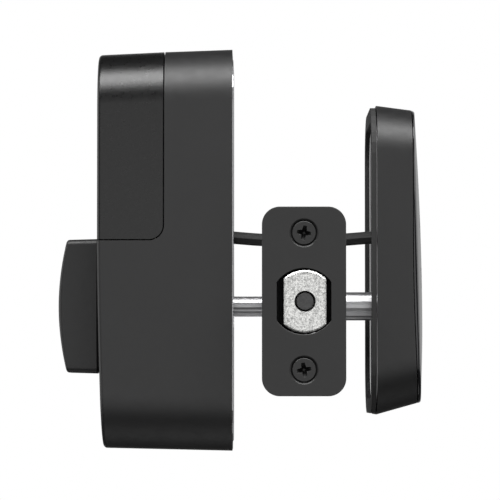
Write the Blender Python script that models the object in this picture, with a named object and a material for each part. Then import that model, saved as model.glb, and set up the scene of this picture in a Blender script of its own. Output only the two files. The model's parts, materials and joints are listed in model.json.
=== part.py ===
"""Keypad smart lock: a touch keypad outside, a motor unit with a thumbturn inside, a deadbolt between.

Frame: the spindle runs along Y through the origin, at the middle of the door's thickness.
The keypad faces -Y, the thumbturn faces +Y, the bolt leaves the door's edge along -X, and +Z is up.
Run it with: blender --background --python part.py
"""

import math

import bmesh
import bpy
from mathutils import Matrix, Vector

MM = 0.001

# Door that the lock fits, in metres
DOOR_THICKNESS = 43 * MM
BACKSET = 60.3 * MM
INSIDE = DOOR_THICKNESS / 2
OUTSIDE = -DOOR_THICKNESS / 2
EDGE = -BACKSET

# Gaps and walls
GAP = 0.3 * MM
WALL = 2.2 * MM
COVER_WALL = 1.5 * MM
GROOVE = 0.4 * MM

# Interior unit
INTERIOR_WIDTH = 72 * MM
INTERIOR_TOP = 80.2 * MM
INTERIOR_BOTTOM = -45.6 * MM
INTERIOR_CORNER = 17 * MM
INTERIOR_DEPTH = 42.1 * MM
INTERIOR_FILLET = 1.2 * MM
SIDE_DRAFT = math.tan(math.radians(0.6))
TOP_DRAFT = math.tan(math.radians(2.0))
COVER_DRAFT = math.tan(math.radians(2.66))
BOTTOM_DRAFT = math.tan(math.radians(1.25))
CHIN_DROP = 1.6 * MM
CHIN_START = 20 * MM
CHIN_LENGTH = 66 * MM

# Battery cover
SPLIT_DEPTH = 21.5 * MM
SPLIT_HEIGHT = 19.7 * MM
SPLIT_RADIUS = 4.5 * MM

# Housing screws and reset button, both under the battery cover
SCREW_X = 14.6 * MM
SCREW_Z = 68 * MM
BUTTON_Z = 60 * MM

# Thumbturn and its shaft
TURN_BASE = 42.7 * MM
TURN_TIP = 55.5 * MM
TURN_LENGTH = 42.7 * MM
TURN_TIP_LENGTH = 42.1 * MM
TURN_THICKNESS = 15 * MM
TURN_CROWN = 2.4 * MM
TURN_CORNER = 1.5 * MM
SHAFT_RADIUS = 4.5 * MM
SHAFT_START = 4.2 * MM

# Exterior unit
EXTERIOR_WIDTH = 66 * MM
EXTERIOR_TOP = 62.95 * MM
EXTERIOR_BOTTOM = -34.8 * MM
EXTERIOR_CORNER = 16 * MM
EXTERIOR_WALL = 2.5 * MM
EXTERIOR_TOP_DRAFT = math.tan(math.radians(7.5))
EXTERIOR_BOTTOM_DRAFT = math.tan(math.radians(15.7))
EXTERIOR_SIDE_DRAFT = math.tan(math.radians(4.0))
GASKET = 1.5 * MM
RIM_TOP = 12.7 * MM
RIM_DROP = 1.4 * MM
RIM_START = 20 * MM
RIM_LENGTH = 46 * MM
GLASS_CREST = 16.95 * MM
GLASS_CREST_HEIGHT = -5.7 * MM
GLASS_RADIUS_ABOVE = 855 * MM
GLASS_RADIUS_BELOW = 300 * MM
GLASS_EDGE = 14.45 * MM
GLASS_LEAN = 0.024
GLASS_LIP = 0.1 * MM
GLASS_FILLET = 0.6 * MM
GLASS_STRIPS = 10

# Contacts for a 9 V battery in the exterior unit's lower end
CONTACT_X = 6.35 * MM
CONTACT_DEPTH = 6 * MM
CONTACT_RECESS = 1.2 * MM

# Lead between the two units
HARNESS_Z = 22 * MM
HARNESS_RADIUS = 2 * MM
HARNESS_BEND = 8.4 * MM

# Faceplate, screws, bolt and pin
FACE_WIDTH = 25.4 * MM
FACE_HEIGHT = 57.15 * MM
FACE_CORNER = 5.4 * MM
FACE_THICKNESS = 2.4 * MM
FACE_HOLE = 10 * MM
FACE_HOLE_HALF = 8.2 * MM
SCREW_SPACING = 41.3 * MM
SCREW_HEAD = 3.85 * MM
SCREW_COUNTERSINK = 4.3 * MM
BOLT_RADIUS = 9.5 * MM
BOLT_HALF = 6.5 * MM
BOLT_SIDE = -0.3 * MM
BOLT_LENGTH = 29 * MM
PIN_RADIUS = 3.0 * MM

# Latch
SLEEVE_OUTER = 12.4 * MM
SLEEVE_INNER = 11.4 * MM
SLEEVE_END = 2 * MM
POST_OFFSET = 19 * MM
POST_RADIUS = 4 * MM
CRANK_RADIUS = 17.96 * MM
CRANK_PIN = 1.75 * MM
SLOT_HALF = 2.4 * MM
HUB_RADIUS = 5.6 * MM
TAIL_TOP = -6.2 * MM
TAIL_LOW = -9.5 * MM
PRONG_LOW = -19.5 * MM

# Gears: module 1, 25 degree pressure angle
MODULE = 1 * MM
OUTPUT_TEETH = 36
IDLER_SMALL_TEETH = 12
IDLER_LARGE_TEETH = 28
PINION_TEETH = 10
PRESSURE_ANGLE = math.radians(25)
BACKLASH = 0.14 * MM
IDLER_PLACE = Vector((0, 0, -(OUTPUT_TEETH + IDLER_SMALL_TEETH) / 2 * MODULE))
PINION_ANGLE = math.radians(-20)
PINION_DISTANCE = (IDLER_LARGE_TEETH + PINION_TEETH) / 2 * MODULE
PINION_OFFSET = Vector((math.cos(PINION_ANGLE), 0, math.sin(PINION_ANGLE))) * PINION_DISTANCE
PINION_PLACE = IDLER_PLACE + PINION_OFFSET

# Batteries: AA cells side by side
CELL_RADIUS = 7.1 * MM
CELL_PITCH = 14.6 * MM
CELL_DEPTH = 32.9 * MM
CELL_BOTTOM = 22 * MM
CELL_LENGTH = 49.5 * MM
CELL_NUB = 1 * MM

SHELL_BLACK = (0.045, 0.045, 0.046)
METAL_BLACK = (0.05, 0.05, 0.05)


def clear_scene():
    for obj in list(bpy.data.objects):
        bpy.data.objects.remove(obj, do_unlink=True)


def material(name, colour, roughness, metallic=0.0):
    found = bpy.data.materials.get(name)
    if found:
        return found
    made = bpy.data.materials.new(name)
    made.use_nodes = True
    shader = made.node_tree.nodes["Principled BSDF"]
    shader.inputs["Base Color"].default_value = (*colour, 1)
    shader.inputs["Roughness"].default_value = roughness
    shader.inputs["Metallic"].default_value = metallic
    made.diffuse_color = (*colour, 1)
    return made


def soft_black():
    return material("soft_black_plastic", SHELL_BLACK, 0.45)


def satin_black():
    return material("satin_black_metal", METAL_BLACK, 0.4, 1.0)


def steel():
    return material("plain_steel", (0.55, 0.55, 0.56), 0.35, 1.0)


def cast_metal():
    return material("cast_metal", (0.72, 0.71, 0.69), 0.3, 1.0)


def inner_plastic():
    return material("inner_plastic", (0.12, 0.12, 0.125), 0.6)


def gear_plastic():
    return material("gear_plastic", (0.78, 0.76, 0.7), 0.5)


# ---------------------------------------------------------------- shape helpers


def add_object(name, mesh, finish, smooth_angle=30):
    """A named object from a bmesh, with its faces turned outwards and its round parts shaded smooth."""
    bmesh.ops.recalc_face_normals(mesh, faces=mesh.faces)
    data = bpy.data.meshes.new(name)
    mesh.to_mesh(data)
    mesh.free()
    data.shade_smooth()
    data.set_sharp_from_angle(angle=math.radians(smooth_angle))
    obj = bpy.data.objects.new(name, data)
    bpy.context.scene.collection.objects.link(obj)
    if finish:
        data.materials.append(finish)
    return obj


def modify(obj, helper, operation):
    helper.hide_render = True
    helper.display_type = "WIRE"
    boolean = obj.modifiers.new(f"{operation.lower()}_{helper.name}", "BOOLEAN")
    boolean.operation = operation
    boolean.solver = "EXACT"
    boolean.object = helper


def cut(obj, *helpers):
    for helper in helpers:
        modify(obj, helper, "DIFFERENCE")


def join(obj, *helpers):
    for helper in helpers:
        modify(obj, helper, "UNION")


def bridge(mesh, lower, upper):
    """Faces between two rings with the same number of vertices."""
    for i in range(len(lower)):
        j = (i + 1) % len(lower)
        mesh.faces.new((lower[i], lower[j], upper[j], upper[i]))


def cap_across(mesh, ring):
    """Strips across X that close a ring whose second half mirrors its first."""
    count = len(ring)
    for i in range(count // 2 - 1):
        mesh.faces.new((ring[i], ring[i + 1], ring[count - 2 - i], ring[count - 1 - i]))


def loft(name, sections, finish=None):
    """A closed body through rings of points that mirror about X = 0, capped by strips across X."""
    mesh = bmesh.new()
    rings = [[mesh.verts.new(point) for point in section] for section in sections]
    for lower, upper in zip(rings, rings[1:]):
        bridge(mesh, lower, upper)
    cap_across(mesh, rings[0])
    cap_across(mesh, rings[-1])
    return add_object(name, mesh, finish)


def rounded_points(half, low, high, radius, corner_steps=7, side_steps=4):
    """(x, z) points of a rounded rectangle: its right half from the bottom up, then its left half down."""
    right = []
    for step in range(corner_steps + 1):
        angle = -math.pi / 2 + step * math.pi / 2 / corner_steps
        right.append((half - radius + radius * math.cos(angle), low + radius + radius * math.sin(angle)))
    for step in range(1, side_steps):
        right.append((half, low + radius + (high - low - 2 * radius) * step / side_steps))
    for step in range(corner_steps + 1):
        angle = step * math.pi / 2 / corner_steps
        right.append((half - radius + radius * math.cos(angle), high - radius + radius * math.sin(angle)))
    return right + [(-x, z) for x, z in reversed(right)]


def plate(name, outline, start, end, finish=None):
    """A flat plate: an (x, z) outline from y = start to y = end."""
    mesh = bmesh.new()
    first = [mesh.verts.new((x, start, z)) for x, z in outline]
    last = [mesh.verts.new((x, end, z)) for x, z in outline]
    mesh.faces.new(first)
    mesh.faces.new(last)
    bridge(mesh, first, last)
    return add_object(name, mesh, finish)


def block(name, low, high, finish=None):
    mesh = bmesh.new()
    bmesh.ops.create_cube(mesh, size=1)
    size = Vector(high) - Vector(low)
    bmesh.ops.scale(mesh, vec=size, verts=mesh.verts)
    bmesh.ops.translate(mesh, vec=(Vector(low) + Vector(high)) / 2, verts=mesh.verts)
    return add_object(name, mesh, finish)


def turn_to(axis):
    """The rotation that takes +Z to the named axis."""
    return {
        "X": Matrix.Rotation(math.pi / 2, 4, "Y"),
        "-X": Matrix.Rotation(-math.pi / 2, 4, "Y"),
        "Y": Matrix.Rotation(-math.pi / 2, 4, "X"),
        "-Y": Matrix.Rotation(math.pi / 2, 4, "X"),
        "Z": Matrix.Identity(4),
    }[axis]


def round_rings(mesh, profile, segments):
    """A ring of vertices about the Z axis for each (radius, height) of the profile."""
    rings = []
    for radius, height in profile:
        ring = []
        for step in range(segments):
            angle = 2 * math.pi * step / segments
            ring.append(mesh.verts.new((radius * math.cos(angle), radius * math.sin(angle), height)))
        rings.append(ring)
    return rings


def turned(name, profile, place, axis, finish=None, segments=24):
    """A solid of revolution: profile is (radius, height) along the axis, capped flat at both ends."""
    mesh = bmesh.new()
    rings = round_rings(mesh, profile, segments)
    for lower, upper in zip(rings, rings[1:]):
        bridge(mesh, lower, upper)
    mesh.faces.new(rings[0])
    mesh.faces.new(rings[-1])
    bmesh.ops.transform(mesh, matrix=Matrix.Translation(place) @ turn_to(axis), verts=mesh.verts)
    return add_object(name, mesh, finish)


def ring_body(name, profile, place, axis, finish=None, segments=24):
    """A turned ring: profile is a closed list of (radius, height) that stays off the axis."""
    mesh = bmesh.new()
    rings = round_rings(mesh, profile, segments)
    for lower, upper in zip(rings, rings[1:] + rings[:1]):
        bridge(mesh, lower, upper)
    bmesh.ops.transform(mesh, matrix=Matrix.Translation(place) @ turn_to(axis), verts=mesh.verts)
    return add_object(name, mesh, finish)


def rod(name, radius, place, axis, length, finish=None, segments=24):
    return turned(name, [(radius, 0), (radius, length)], place, axis, finish, segments)


def cross_prism(name, half_length, half_width, place, axis, depth, spin=0.0):
    """A cross-shaped cutter for a screw's recess, tapering a little with depth."""
    quarter = [(half_length, half_width), (half_width, half_width), (half_width, half_length)]
    outline = quarter + [(-x, y) for x, y in reversed(quarter)]
    outline += [(-x, -y) for x, y in outline]
    mesh = bmesh.new()
    mouth = [mesh.verts.new((x, y, -depth)) for x, y in outline]
    floor = [mesh.verts.new((x * 0.7, y * 0.7, depth)) for x, y in outline]
    mesh.faces.new(mouth)
    mesh.faces.new(floor)
    bridge(mesh, mouth, floor)
    spun = Matrix.Rotation(spin, 4, "Z")
    bmesh.ops.transform(mesh, matrix=Matrix.Translation(place) @ turn_to(axis) @ spun, verts=mesh.verts)
    return add_object(name, mesh, None)


# ---------------------------------------------------------------- interior unit


def interior_ring(depth, inset=0.0, follow_chin=True, corner_steps=7, side_steps=6):
    """The interior unit's outline at a depth from the door, pulled in by inset, with drafts and chin."""
    beyond_split = max(depth - SPLIT_DEPTH, 0)
    half = INTERIOR_WIDTH / 2 - depth * SIDE_DRAFT - inset
    top = INTERIOR_TOP - min(depth, SPLIT_DEPTH) * TOP_DRAFT - beyond_split * COVER_DRAFT - inset
    bottom = INTERIOR_BOTTOM + depth * BOTTOM_DRAFT + inset
    points = rounded_points(half, bottom, top, INTERIOR_CORNER - inset, corner_steps, side_steps)
    share = depth / INTERIOR_DEPTH if follow_chin else 0
    return [(x, INSIDE + depth - share * chin_drop(z), z) for x, z in points]


def chin_drop(z):
    """How far the front face falls back towards the door below the battery cover."""
    below = max((CHIN_START - z) / CHIN_LENGTH, 0)
    return CHIN_DROP * below**1.5


def interior_envelope(name, finish=None):
    front = INTERIOR_DEPTH
    fillet = INTERIOR_FILLET
    sections = [interior_ring(GAP, follow_chin=False), interior_ring(SPLIT_DEPTH)]
    sections.append(interior_ring(front - fillet))
    for step in (1, 2, 3):
        angle = step * math.pi / 6
        depth = front - fillet + fillet * math.sin(angle)
        sections.append(interior_ring(depth, fillet * (1 - math.cos(angle))))
    return loft(name, sections, finish)


def cover_block(name, offset, reach=110 * MM):
    """The prism in front of and above the split, with its lower rear corner rounded."""
    depth = INSIDE + SPLIT_DEPTH + offset
    height = SPLIT_HEIGHT + offset
    radius = SPLIT_RADIUS - offset
    outline = [(depth, reach), (reach, reach), (reach, height)]
    for step in range(7):
        angle = -math.pi / 2 - step * math.pi / 12
        centre = (depth + radius, height + radius)
        outline.append((centre[0] + radius * math.cos(angle), centre[1] + radius * math.sin(angle)))
    mesh = bmesh.new()
    left = [mesh.verts.new((-reach, y, z)) for y, z in outline]
    right = [mesh.verts.new((reach, y, z)) for y, z in outline]
    mesh.faces.new(left)
    mesh.faces.new(right)
    bridge(mesh, left, right)
    return add_object(name, mesh, None)


def inner_block(name, inset, start, end, low, high):
    """A cavity cutter: the envelope's outline pulled in by inset, between two depths and two heights."""
    core = loft(name, [interior_ring(start, inset, False, 4, 1), interior_ring(end, inset, False, 4, 1)])
    limits = block(name + "_limits", (-60 * MM, INSIDE - 10 * MM, low), (60 * MM, INSIDE + 70 * MM, high))
    modify(core, limits, "INTERSECT")
    return core


def interior_housing():
    housing = interior_envelope("interior_housing", soft_black())
    lower = inner_block("housing_lower_cavity", WALL, -2 * MM, 39.2 * MM, -60 * MM, 24 * MM)
    upper = inner_block("housing_upper_cavity", WALL, -2.5 * MM, 19.3 * MM, 23 * MM, 90 * MM)
    hole = rod("housing_shaft_hole", 7.3 * MM, (0, INSIDE + 30 * MM, 0), "Y", 20 * MM)
    cut(housing, cover_block("housing_split", -GROOVE / 2), lower, upper, hole)
    for side in (-1, 1):
        place = (side * SCREW_X, INSIDE + 15 * MM, SCREW_Z)
        cut(housing, rod(f"housing_screw_hole_{side}", 1.9 * MM, place, "Y", 10 * MM, None, 12))
    button = (0, INSIDE + 15 * MM, BUTTON_Z)
    cut(housing, rod("housing_button_hole", 2.1 * MM, button, "Y", 10 * MM, None, 16))
    return housing


def battery_cover():
    cover = interior_envelope("battery_cover", material("battery_cover_plastic", SHELL_BLACK, 0.35))
    modify(cover, cover_block("cover_split", GROOVE / 2), "INTERSECT")
    hollow = inner_block("cover_hollow", COVER_WALL, -3 * MM, INTERIOR_DEPTH - COVER_WALL, -40 * MM, 90 * MM)
    cut(cover, hollow)
    return cover


def mounting_plate():
    outline = rounded_points(33 * MM, -42.6 * MM, 77 * MM, 14 * MM, 5, 1)
    made = plate("mounting_plate", outline, INSIDE, INSIDE + 1.6 * MM, steel())
    cut(made, rod("plate_centre_hole", 9 * MM, (0, INSIDE - 5 * MM, 0), "Y", 12 * MM))
    cut(made, rod("plate_harness_hole", 4.5 * MM, (0, INSIDE - 5 * MM, HARNESS_Z), "Y", 12 * MM, None, 16))
    for side in (-1, 1):
        bolt = (side * POST_OFFSET, INSIDE - 5 * MM, 0)
        screw = (side * SCREW_X, INSIDE - 5 * MM, SCREW_Z)
        cut(made, rod(f"plate_bolt_hole_{side}", 2.8 * MM, bolt, "Y", 12 * MM, None, 16))
        cut(made, rod(f"plate_screw_hole_{side}", 1.9 * MM, screw, "Y", 12 * MM, None, 12))
    return made


def chassis():
    outline = rounded_points(32 * MM, -41.6 * MM, 75.5 * MM, 13 * MM, 5, 1)
    made = plate("chassis", outline, INSIDE + 4.9 * MM, INSIDE + 7 * MM, inner_plastic())
    for side in (-1, 1):
        boss = (side * SCREW_X, INSIDE + 6 * MM, SCREW_Z)
        hole = (side * SCREW_X, INSIDE, SCREW_Z)
        join(made, rod(f"chassis_boss_{side}", 3.4 * MM, boss, "Y", 12.9 * MM, None, 16))
        cut(made, rod(f"chassis_boss_hole_{side}", 1.9 * MM, hole, "Y", 30 * MM, None, 12))
    cut(made, rod("chassis_shaft_hole", 6 * MM, (0, INSIDE, 0), "Y", 12 * MM))
    cut(made, rod("chassis_harness_hole", 4.5 * MM, (0, INSIDE, HARNESS_Z), "Y", 12 * MM, None, 16))
    return made


def battery_holder():
    """A back plate with a floor, a roof and two side ribs that cradle the cells."""
    finish = inner_plastic()
    back = INSIDE + 21.6 * MM
    outline = rounded_points(30.5 * MM, 15.4 * MM, 75.4 * MM, 9 * MM, 4, 1)
    made = plate("battery_holder", outline, back, back + 1.4 * MM, finish)
    floor = ((-29 * MM, back + 0.5 * MM, 15.4 * MM), (29 * MM, INSIDE + 38.5 * MM, 17 * MM))
    roof = ((-24 * MM, back + 0.5 * MM, 73.9 * MM), (24 * MM, INSIDE + 38.5 * MM, 75.4 * MM))
    join(made, block("holder_floor", *floor), block("holder_roof", *roof))
    for side in (-1, 1):
        inner = side * 29.3 * MM
        outer = side * 30.5 * MM
        low = (min(inner, outer), back + 0.5 * MM, 24.5 * MM)
        high = (max(inner, outer), INSIDE + 29 * MM, 66 * MM)
        join(made, block(f"holder_rib_{side}", low, high))
        place = (side * SCREW_X, INSIDE + 15 * MM, SCREW_Z)
        cut(made, rod(f"holder_screw_hole_{side}", 1.9 * MM, place, "Y", 12 * MM, None, 12))
    cut(made, rod("holder_button_hole", 2.1 * MM, (0, INSIDE + 15 * MM, BUTTON_Z), "Y", 12 * MM, None, 16))
    return made


def batteries():
    finish = material("battery_sleeve", (0.2, 0.22, 0.24), 0.35)
    contact = material("contact_metal", (0.75, 0.75, 0.74), 0.3, 1.0)
    for index in range(4):
        x = (index - 1.5) * CELL_PITCH
        up = index % 2 == 0
        bottom = CELL_BOTTOM if up else CELL_BOTTOM + CELL_LENGTH + CELL_NUB
        place = (x, INSIDE + CELL_DEPTH, bottom)
        profile = [
            (CELL_RADIUS - 0.6 * MM, 0),
            (CELL_RADIUS, 0.6 * MM),
            (CELL_RADIUS, CELL_LENGTH - 0.6 * MM),
            (CELL_RADIUS - 0.6 * MM, CELL_LENGTH),
            (2.6 * MM, CELL_LENGTH),
            (2.6 * MM, CELL_LENGTH + CELL_NUB),
        ]
        if not up:
            profile = [(radius, -height) for radius, height in profile]
        turned(f"battery_{index + 1}", profile, place, "Z", finish, 24)
        battery_spring(index, x, up, contact)


def battery_spring(index, x, up, finish):
    """A conical coil between the cell's flat end and the holder's floor or roof."""
    turns = 2.5 if up else 0.75
    start = 17.4 * MM if up else 73.4 * MM
    end = 21.4 * MM if up else 72.9 * MM
    wire = 0.3 * MM
    steps = int(turns * 10)
    mesh = bmesh.new()
    rings = []
    for step in range(steps + 1):
        share = step / steps
        angle = 2 * math.pi * turns * share
        radius = (5.2 - 2.4 * share) * MM if up else 3.2 * MM
        outward = Vector((math.cos(angle), math.sin(angle), 0))
        centre = Vector((x, INSIDE + CELL_DEPTH, start + (end - start) * share)) + outward * radius
        ring = []
        for corner in range(4):
            tilt = 2 * math.pi * corner / 4
            offset = outward * math.cos(tilt) * wire + Vector((0, 0, math.sin(tilt) * wire))
            ring.append(mesh.verts.new(centre + offset))
        rings.append(ring)
    for lower, upper in zip(rings, rings[1:]):
        bridge(mesh, lower, upper)
    mesh.faces.new(rings[0])
    mesh.faces.new(rings[-1])
    add_object(f"battery_spring_{index + 1}", mesh, finish)


def contact_strips():
    finish = material("contact_metal", (0.75, 0.75, 0.74), 0.3, 1.0)
    for name, side in (("contact_strip_left", -1), ("contact_strip_right", 1)):
        centre = side * CELL_PITCH
        depth = INSIDE + 24 * MM
        low = (centre - 8 * MM, depth, 18 * MM)
        high = (centre + 8 * MM, depth + 0.6 * MM, 21.6 * MM)
        block(name, low, high, finish)


def control_board():
    board = material("circuit_board", (0.02, 0.13, 0.07), 0.5)
    can = material("shield_metal", (0.6, 0.6, 0.58), 0.35, 1.0)
    outline = rounded_points(28 * MM, 29.5 * MM, 75 * MM, 10 * MM, 4, 1)
    made = plate("control_board", outline, INSIDE + 9 * MM, INSIDE + 10.6 * MM, board)
    for side in (-1, 1):
        place = (side * SCREW_X, INSIDE, SCREW_Z)
        cut(made, rod(f"board_boss_hole_{side}", 3.9 * MM, place, "Y", 20 * MM, None, 16))
    front = INSIDE + 10.9 * MM
    block("radio_module", (-24 * MM, front, 38 * MM), (-8 * MM, front + 2.2 * MM, 56 * MM), can)
    socket = material("connector_plastic", (0.7, 0.68, 0.6), 0.5)
    block("main_connector", (-6 * MM, front, 33 * MM), (6 * MM, front + 5 * MM, 39 * MM), socket)
    block("reset_switch", (-3 * MM, front, 57 * MM), (3 * MM, front + 1.5 * MM, 63 * MM), inner_plastic())
    button = [(2.6 * MM, 0), (2.6 * MM, 0.9 * MM), (1.7 * MM, 0.9 * MM)]
    button += [(1.7 * MM, 11.2 * MM), (1.3 * MM, 11.6 * MM)]
    finish = material("button_plastic", (0.5, 0.5, 0.5), 0.4)
    turned("reset_button", button, (0, INSIDE + 13.2 * MM, BUTTON_Z), "Y", finish, 16)


def housing_screws():
    for name, side in (("housing_screw_left", -1), ("housing_screw_right", 1)):
        place = Vector((side * SCREW_X, INSIDE + 1 * MM, SCREW_Z))
        profile = [
            (1.5 * MM, 0),
            (1.5 * MM, 22.3 * MM),
            (2.9 * MM, 22.3 * MM),
            (2.9 * MM, 23.4 * MM),
            (2.2 * MM, 24.1 * MM),
        ]
        screw = turned(name, profile, place, "Y", steel(), 16)
        mouth = place + Vector((0, 24.1 * MM, 0))
        cut(screw, cross_prism(name + "_recess", 1.7 * MM, 0.35 * MM, mouth, "-Y", 1.0 * MM))


# ---------------------------------------------------------------- gear train


def gear_outline(teeth, phase):
    """Tooth by tooth outline with straight-sided approximations of involute flanks."""
    pitch = teeth * MODULE / 2
    base = pitch * math.cos(PRESSURE_ANGLE)
    tip = pitch + 0.9 * MODULE
    root = pitch - 1.15 * MODULE
    half = math.pi / (2 * teeth) - BACKLASH / (2 * pitch)

    def involute(angle):
        return math.tan(angle) - angle

    def half_width(radius):
        return half + involute(PRESSURE_ANGLE) - involute(math.acos(base / max(radius, base)))

    radii = [root, pitch, tip]
    if base > root + 0.25 * MODULE:
        radii = [root, base, pitch, tip]
    points = []
    for tooth in range(teeth):
        centre = phase + 2 * math.pi * tooth / teeth
        for side, order in ((-1, radii), (1, radii[::-1])):
            for radius in order:
                angle = centre + side * half_width(radius)
                points.append((radius * math.cos(angle), radius * math.sin(angle)))
    return points


def gear(name, teeth, phase, place, start, end, finish=None):
    """A spur gear about the Y axis at place, between two depths from the door's inner face."""
    points = [(place.x + x, place.z + z) for x, z in gear_outline(teeth, phase)]
    return plate(name, points, INSIDE + start, INSIDE + end, finish)


def gear_train():
    finish = gear_plastic()
    down = -math.pi / 2
    output = gear("output_gear", OUTPUT_TEETH, down, Vector((0, 0, 0)), 8 * MM, 12 * MM, finish)
    cut(output, rod("output_bore", SHAFT_RADIUS + GAP, (0, INSIDE, 0), "Y", 20 * MM))
    idler_phase = math.pi / 2 + math.pi / IDLER_SMALL_TEETH
    idler = gear("idler_gear", IDLER_SMALL_TEETH, idler_phase, IDLER_PLACE, 7.6 * MM, 12.8 * MM, finish)
    join(idler, gear("idler_large", IDLER_LARGE_TEETH, PINION_ANGLE, IDLER_PLACE, 12.4 * MM, 15.6 * MM))
    idler_bore = IDLER_PLACE + Vector((0, INSIDE, 0))
    cut(idler, rod("idler_bore", 1.8 * MM, idler_bore, "Y", 20 * MM, None, 16))
    axle_start = IDLER_PLACE + Vector((0, INSIDE + 7.3 * MM, 0))
    rod("idler_axle", 1.5 * MM, axle_start, "Y", 8.8 * MM, steel(), 16)
    pinion_phase = PINION_ANGLE + math.pi + math.pi / PINION_TEETH
    brass = material("brass", (0.7, 0.5, 0.2), 0.3, 1.0)
    pinion = gear("motor_pinion", PINION_TEETH, pinion_phase, PINION_PLACE, 12.5 * MM, 16 * MM, brass)
    pinion_bore = PINION_PLACE + Vector((0, INSIDE, 0))
    cut(pinion, rod("pinion_bore", 1.3 * MM, pinion_bore, "Y", 20 * MM, None, 12))


def motor():
    place = PINION_PLACE + Vector((0, INSIDE + 18.7 * MM, 0))
    profile = [
        (6.2 * MM, 0),
        (7.8 * MM, 0.4 * MM),
        (7.8 * MM, 17 * MM),
        (7.2 * MM, 17.6 * MM),
        (2.5 * MM, 17.6 * MM),
        (2.5 * MM, 18.6 * MM),
    ]
    made = turned("motor", profile, place, "Y", steel(), 24)
    cut(made, rod("motor_bearing_hole", 1.4 * MM, place - Vector((0, 5 * MM, 0)), "Y", 9 * MM, None, 12))
    shaft = PINION_PLACE + Vector((0, INSIDE + 12.2 * MM, 0))
    rod("motor_shaft", 1 * MM, shaft, "Y", 10 * MM, steel(), 12)


def gearbox_cover():
    outline = rounded_points(27 * MM, -40 * MM, 21 * MM, 11 * MM, 4, 1)
    made = plate("gearbox_cover", outline, INSIDE + 16.4 * MM, INSIDE + 18.4 * MM, inner_plastic())
    for x in (-22, 22):
        for z in (-30, 15):
            if (x, z) == (22, -30):
                continue
            leg = (x * MM, INSIDE + 7.3 * MM, z * MM)
            join(made, rod(f"gearbox_leg_{x}_{z}", 2.5 * MM, leg, "Y", 10 * MM, None, 12))
    cut(made, rod("gearbox_shaft_hole", 5.2 * MM, (0, INSIDE + 10 * MM, 0), "Y", 20 * MM))
    boss = PINION_PLACE + Vector((0, INSIDE + 10 * MM, 0))
    cut(made, rod("gearbox_motor_hole", 2 * MM, boss, "Y", 20 * MM, None, 16))
    return made


# ---------------------------------------------------------------- thumbturn and spindle


def thumbturn():
    """A straight-sided bar, a little shorter at its tip, with a crowned outer face and a square socket."""
    sections = []
    thick = TURN_THICKNESS / 2
    edge = 1.3 * MM
    span = TURN_TIP - TURN_BASE
    base = INSIDE + TURN_BASE
    foot = 0.5 * MM
    levels = [(0, foot), (foot, 0), (span - edge, 0), (span - edge * 0.3, edge * 0.3), (span, edge)]
    for depth, inset in levels:
        half = TURN_LENGTH / 2 - (TURN_LENGTH - TURN_TIP_LENGTH) / 2 * depth / span - inset
        points = rounded_points(thick - inset, -half, half, TURN_CORNER, 3, 6)
        crown = TURN_CROWN * depth / span
        sections.append([(x, base + depth - crown * (z / half) ** 2, z) for x, z in points])
    made = loft("thumbturn", sections, soft_black())
    socket = ((-3.4 * MM, base - 2 * MM, -3.4 * MM), (3.4 * MM, base + 6.6 * MM, 3.4 * MM))
    cut(made, block("turn_socket", *socket))
    return made


def thumbturn_shaft():
    start = INSIDE + SHAFT_START
    profile = [
        (SHAFT_RADIUS, 0),
        (SHAFT_RADIUS, 32.4 * MM),
        (3.8 * MM, 32.4 * MM),
        (3.8 * MM, 33.8 * MM),
        (SHAFT_RADIUS, 33.8 * MM),
        (SHAFT_RADIUS, 37.6 * MM),
    ]
    made = turned("thumbturn_shaft", profile, (0, start, 0), "Y", steel())
    end = INSIDE + TURN_BASE + 6.2 * MM
    join(made, block("shaft_square", (-3.1 * MM, start + 35 * MM, -3.1 * MM), (3.1 * MM, end, 3.1 * MM)))
    slot = ((-1.3 * MM, start - 5 * MM, -3.5 * MM), (1.3 * MM, start + 11.8 * MM, 3.5 * MM))
    cut(made, block("shaft_slot", *slot))
    clip = [(4.1 * MM, 0), (6.4 * MM, 0), (6.4 * MM, 0.8 * MM), (4.1 * MM, 0.8 * MM)]
    ring = ring_body("retaining_ring", clip, (0, start + 32.7 * MM, 0), "Y", steel(), 20)
    cut(ring, block("ring_opening", (-2.5 * MM, start + 30 * MM, -10 * MM), (2.5 * MM, start + 36 * MM, 0)))
    bush = [(4.8 * MM, 0), (8.5 * MM, 0), (8.5 * MM, 1 * MM), (7 * MM, 1 * MM), (7 * MM, 3 * MM)]
    bush.append((4.8 * MM, 3 * MM))
    ring_body("front_bushing", bush, (0, INSIDE + 38.1 * MM, 0), "Y", gear_plastic(), 24)
    blade = ((-1 * MM, -8 * MM, -3.2 * MM), (1 * MM, INSIDE + 15 * MM, 3.2 * MM))
    block("torque_blade", *blade, steel())


# ---------------------------------------------------------------- latch


def flat_circle(radius, half, steps=10, side=0.0):
    """(y, z) points of a circle about y = side, cut by two upright flats at half to each side."""
    limit = math.acos(half / radius)
    points = []
    for start in (limit, limit + math.pi):
        for step in range(steps + 1):
            angle = start + (math.pi - 2 * limit) * step / steps
            points.append((side + radius * math.cos(angle), radius * math.sin(angle)))
    return points


def bar_along_x(name, outlines, finish=None):
    """A body through (x, outline) stations, each outline a list of (y, z)."""
    mesh = bmesh.new()
    rings = [[mesh.verts.new((x, y, z)) for y, z in outline] for x, outline in outlines]
    for lower, upper in zip(rings, rings[1:]):
        bridge(mesh, lower, upper)
    mesh.faces.new(rings[0])
    mesh.faces.new(rings[-1])
    return add_object(name, mesh, finish)


def face_outline(inset, corner_steps=6):
    half = FACE_WIDTH / 2 - inset
    height = FACE_HEIGHT / 2 - inset
    return rounded_points(half, -height, height, FACE_CORNER - inset, corner_steps, 1)


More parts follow.
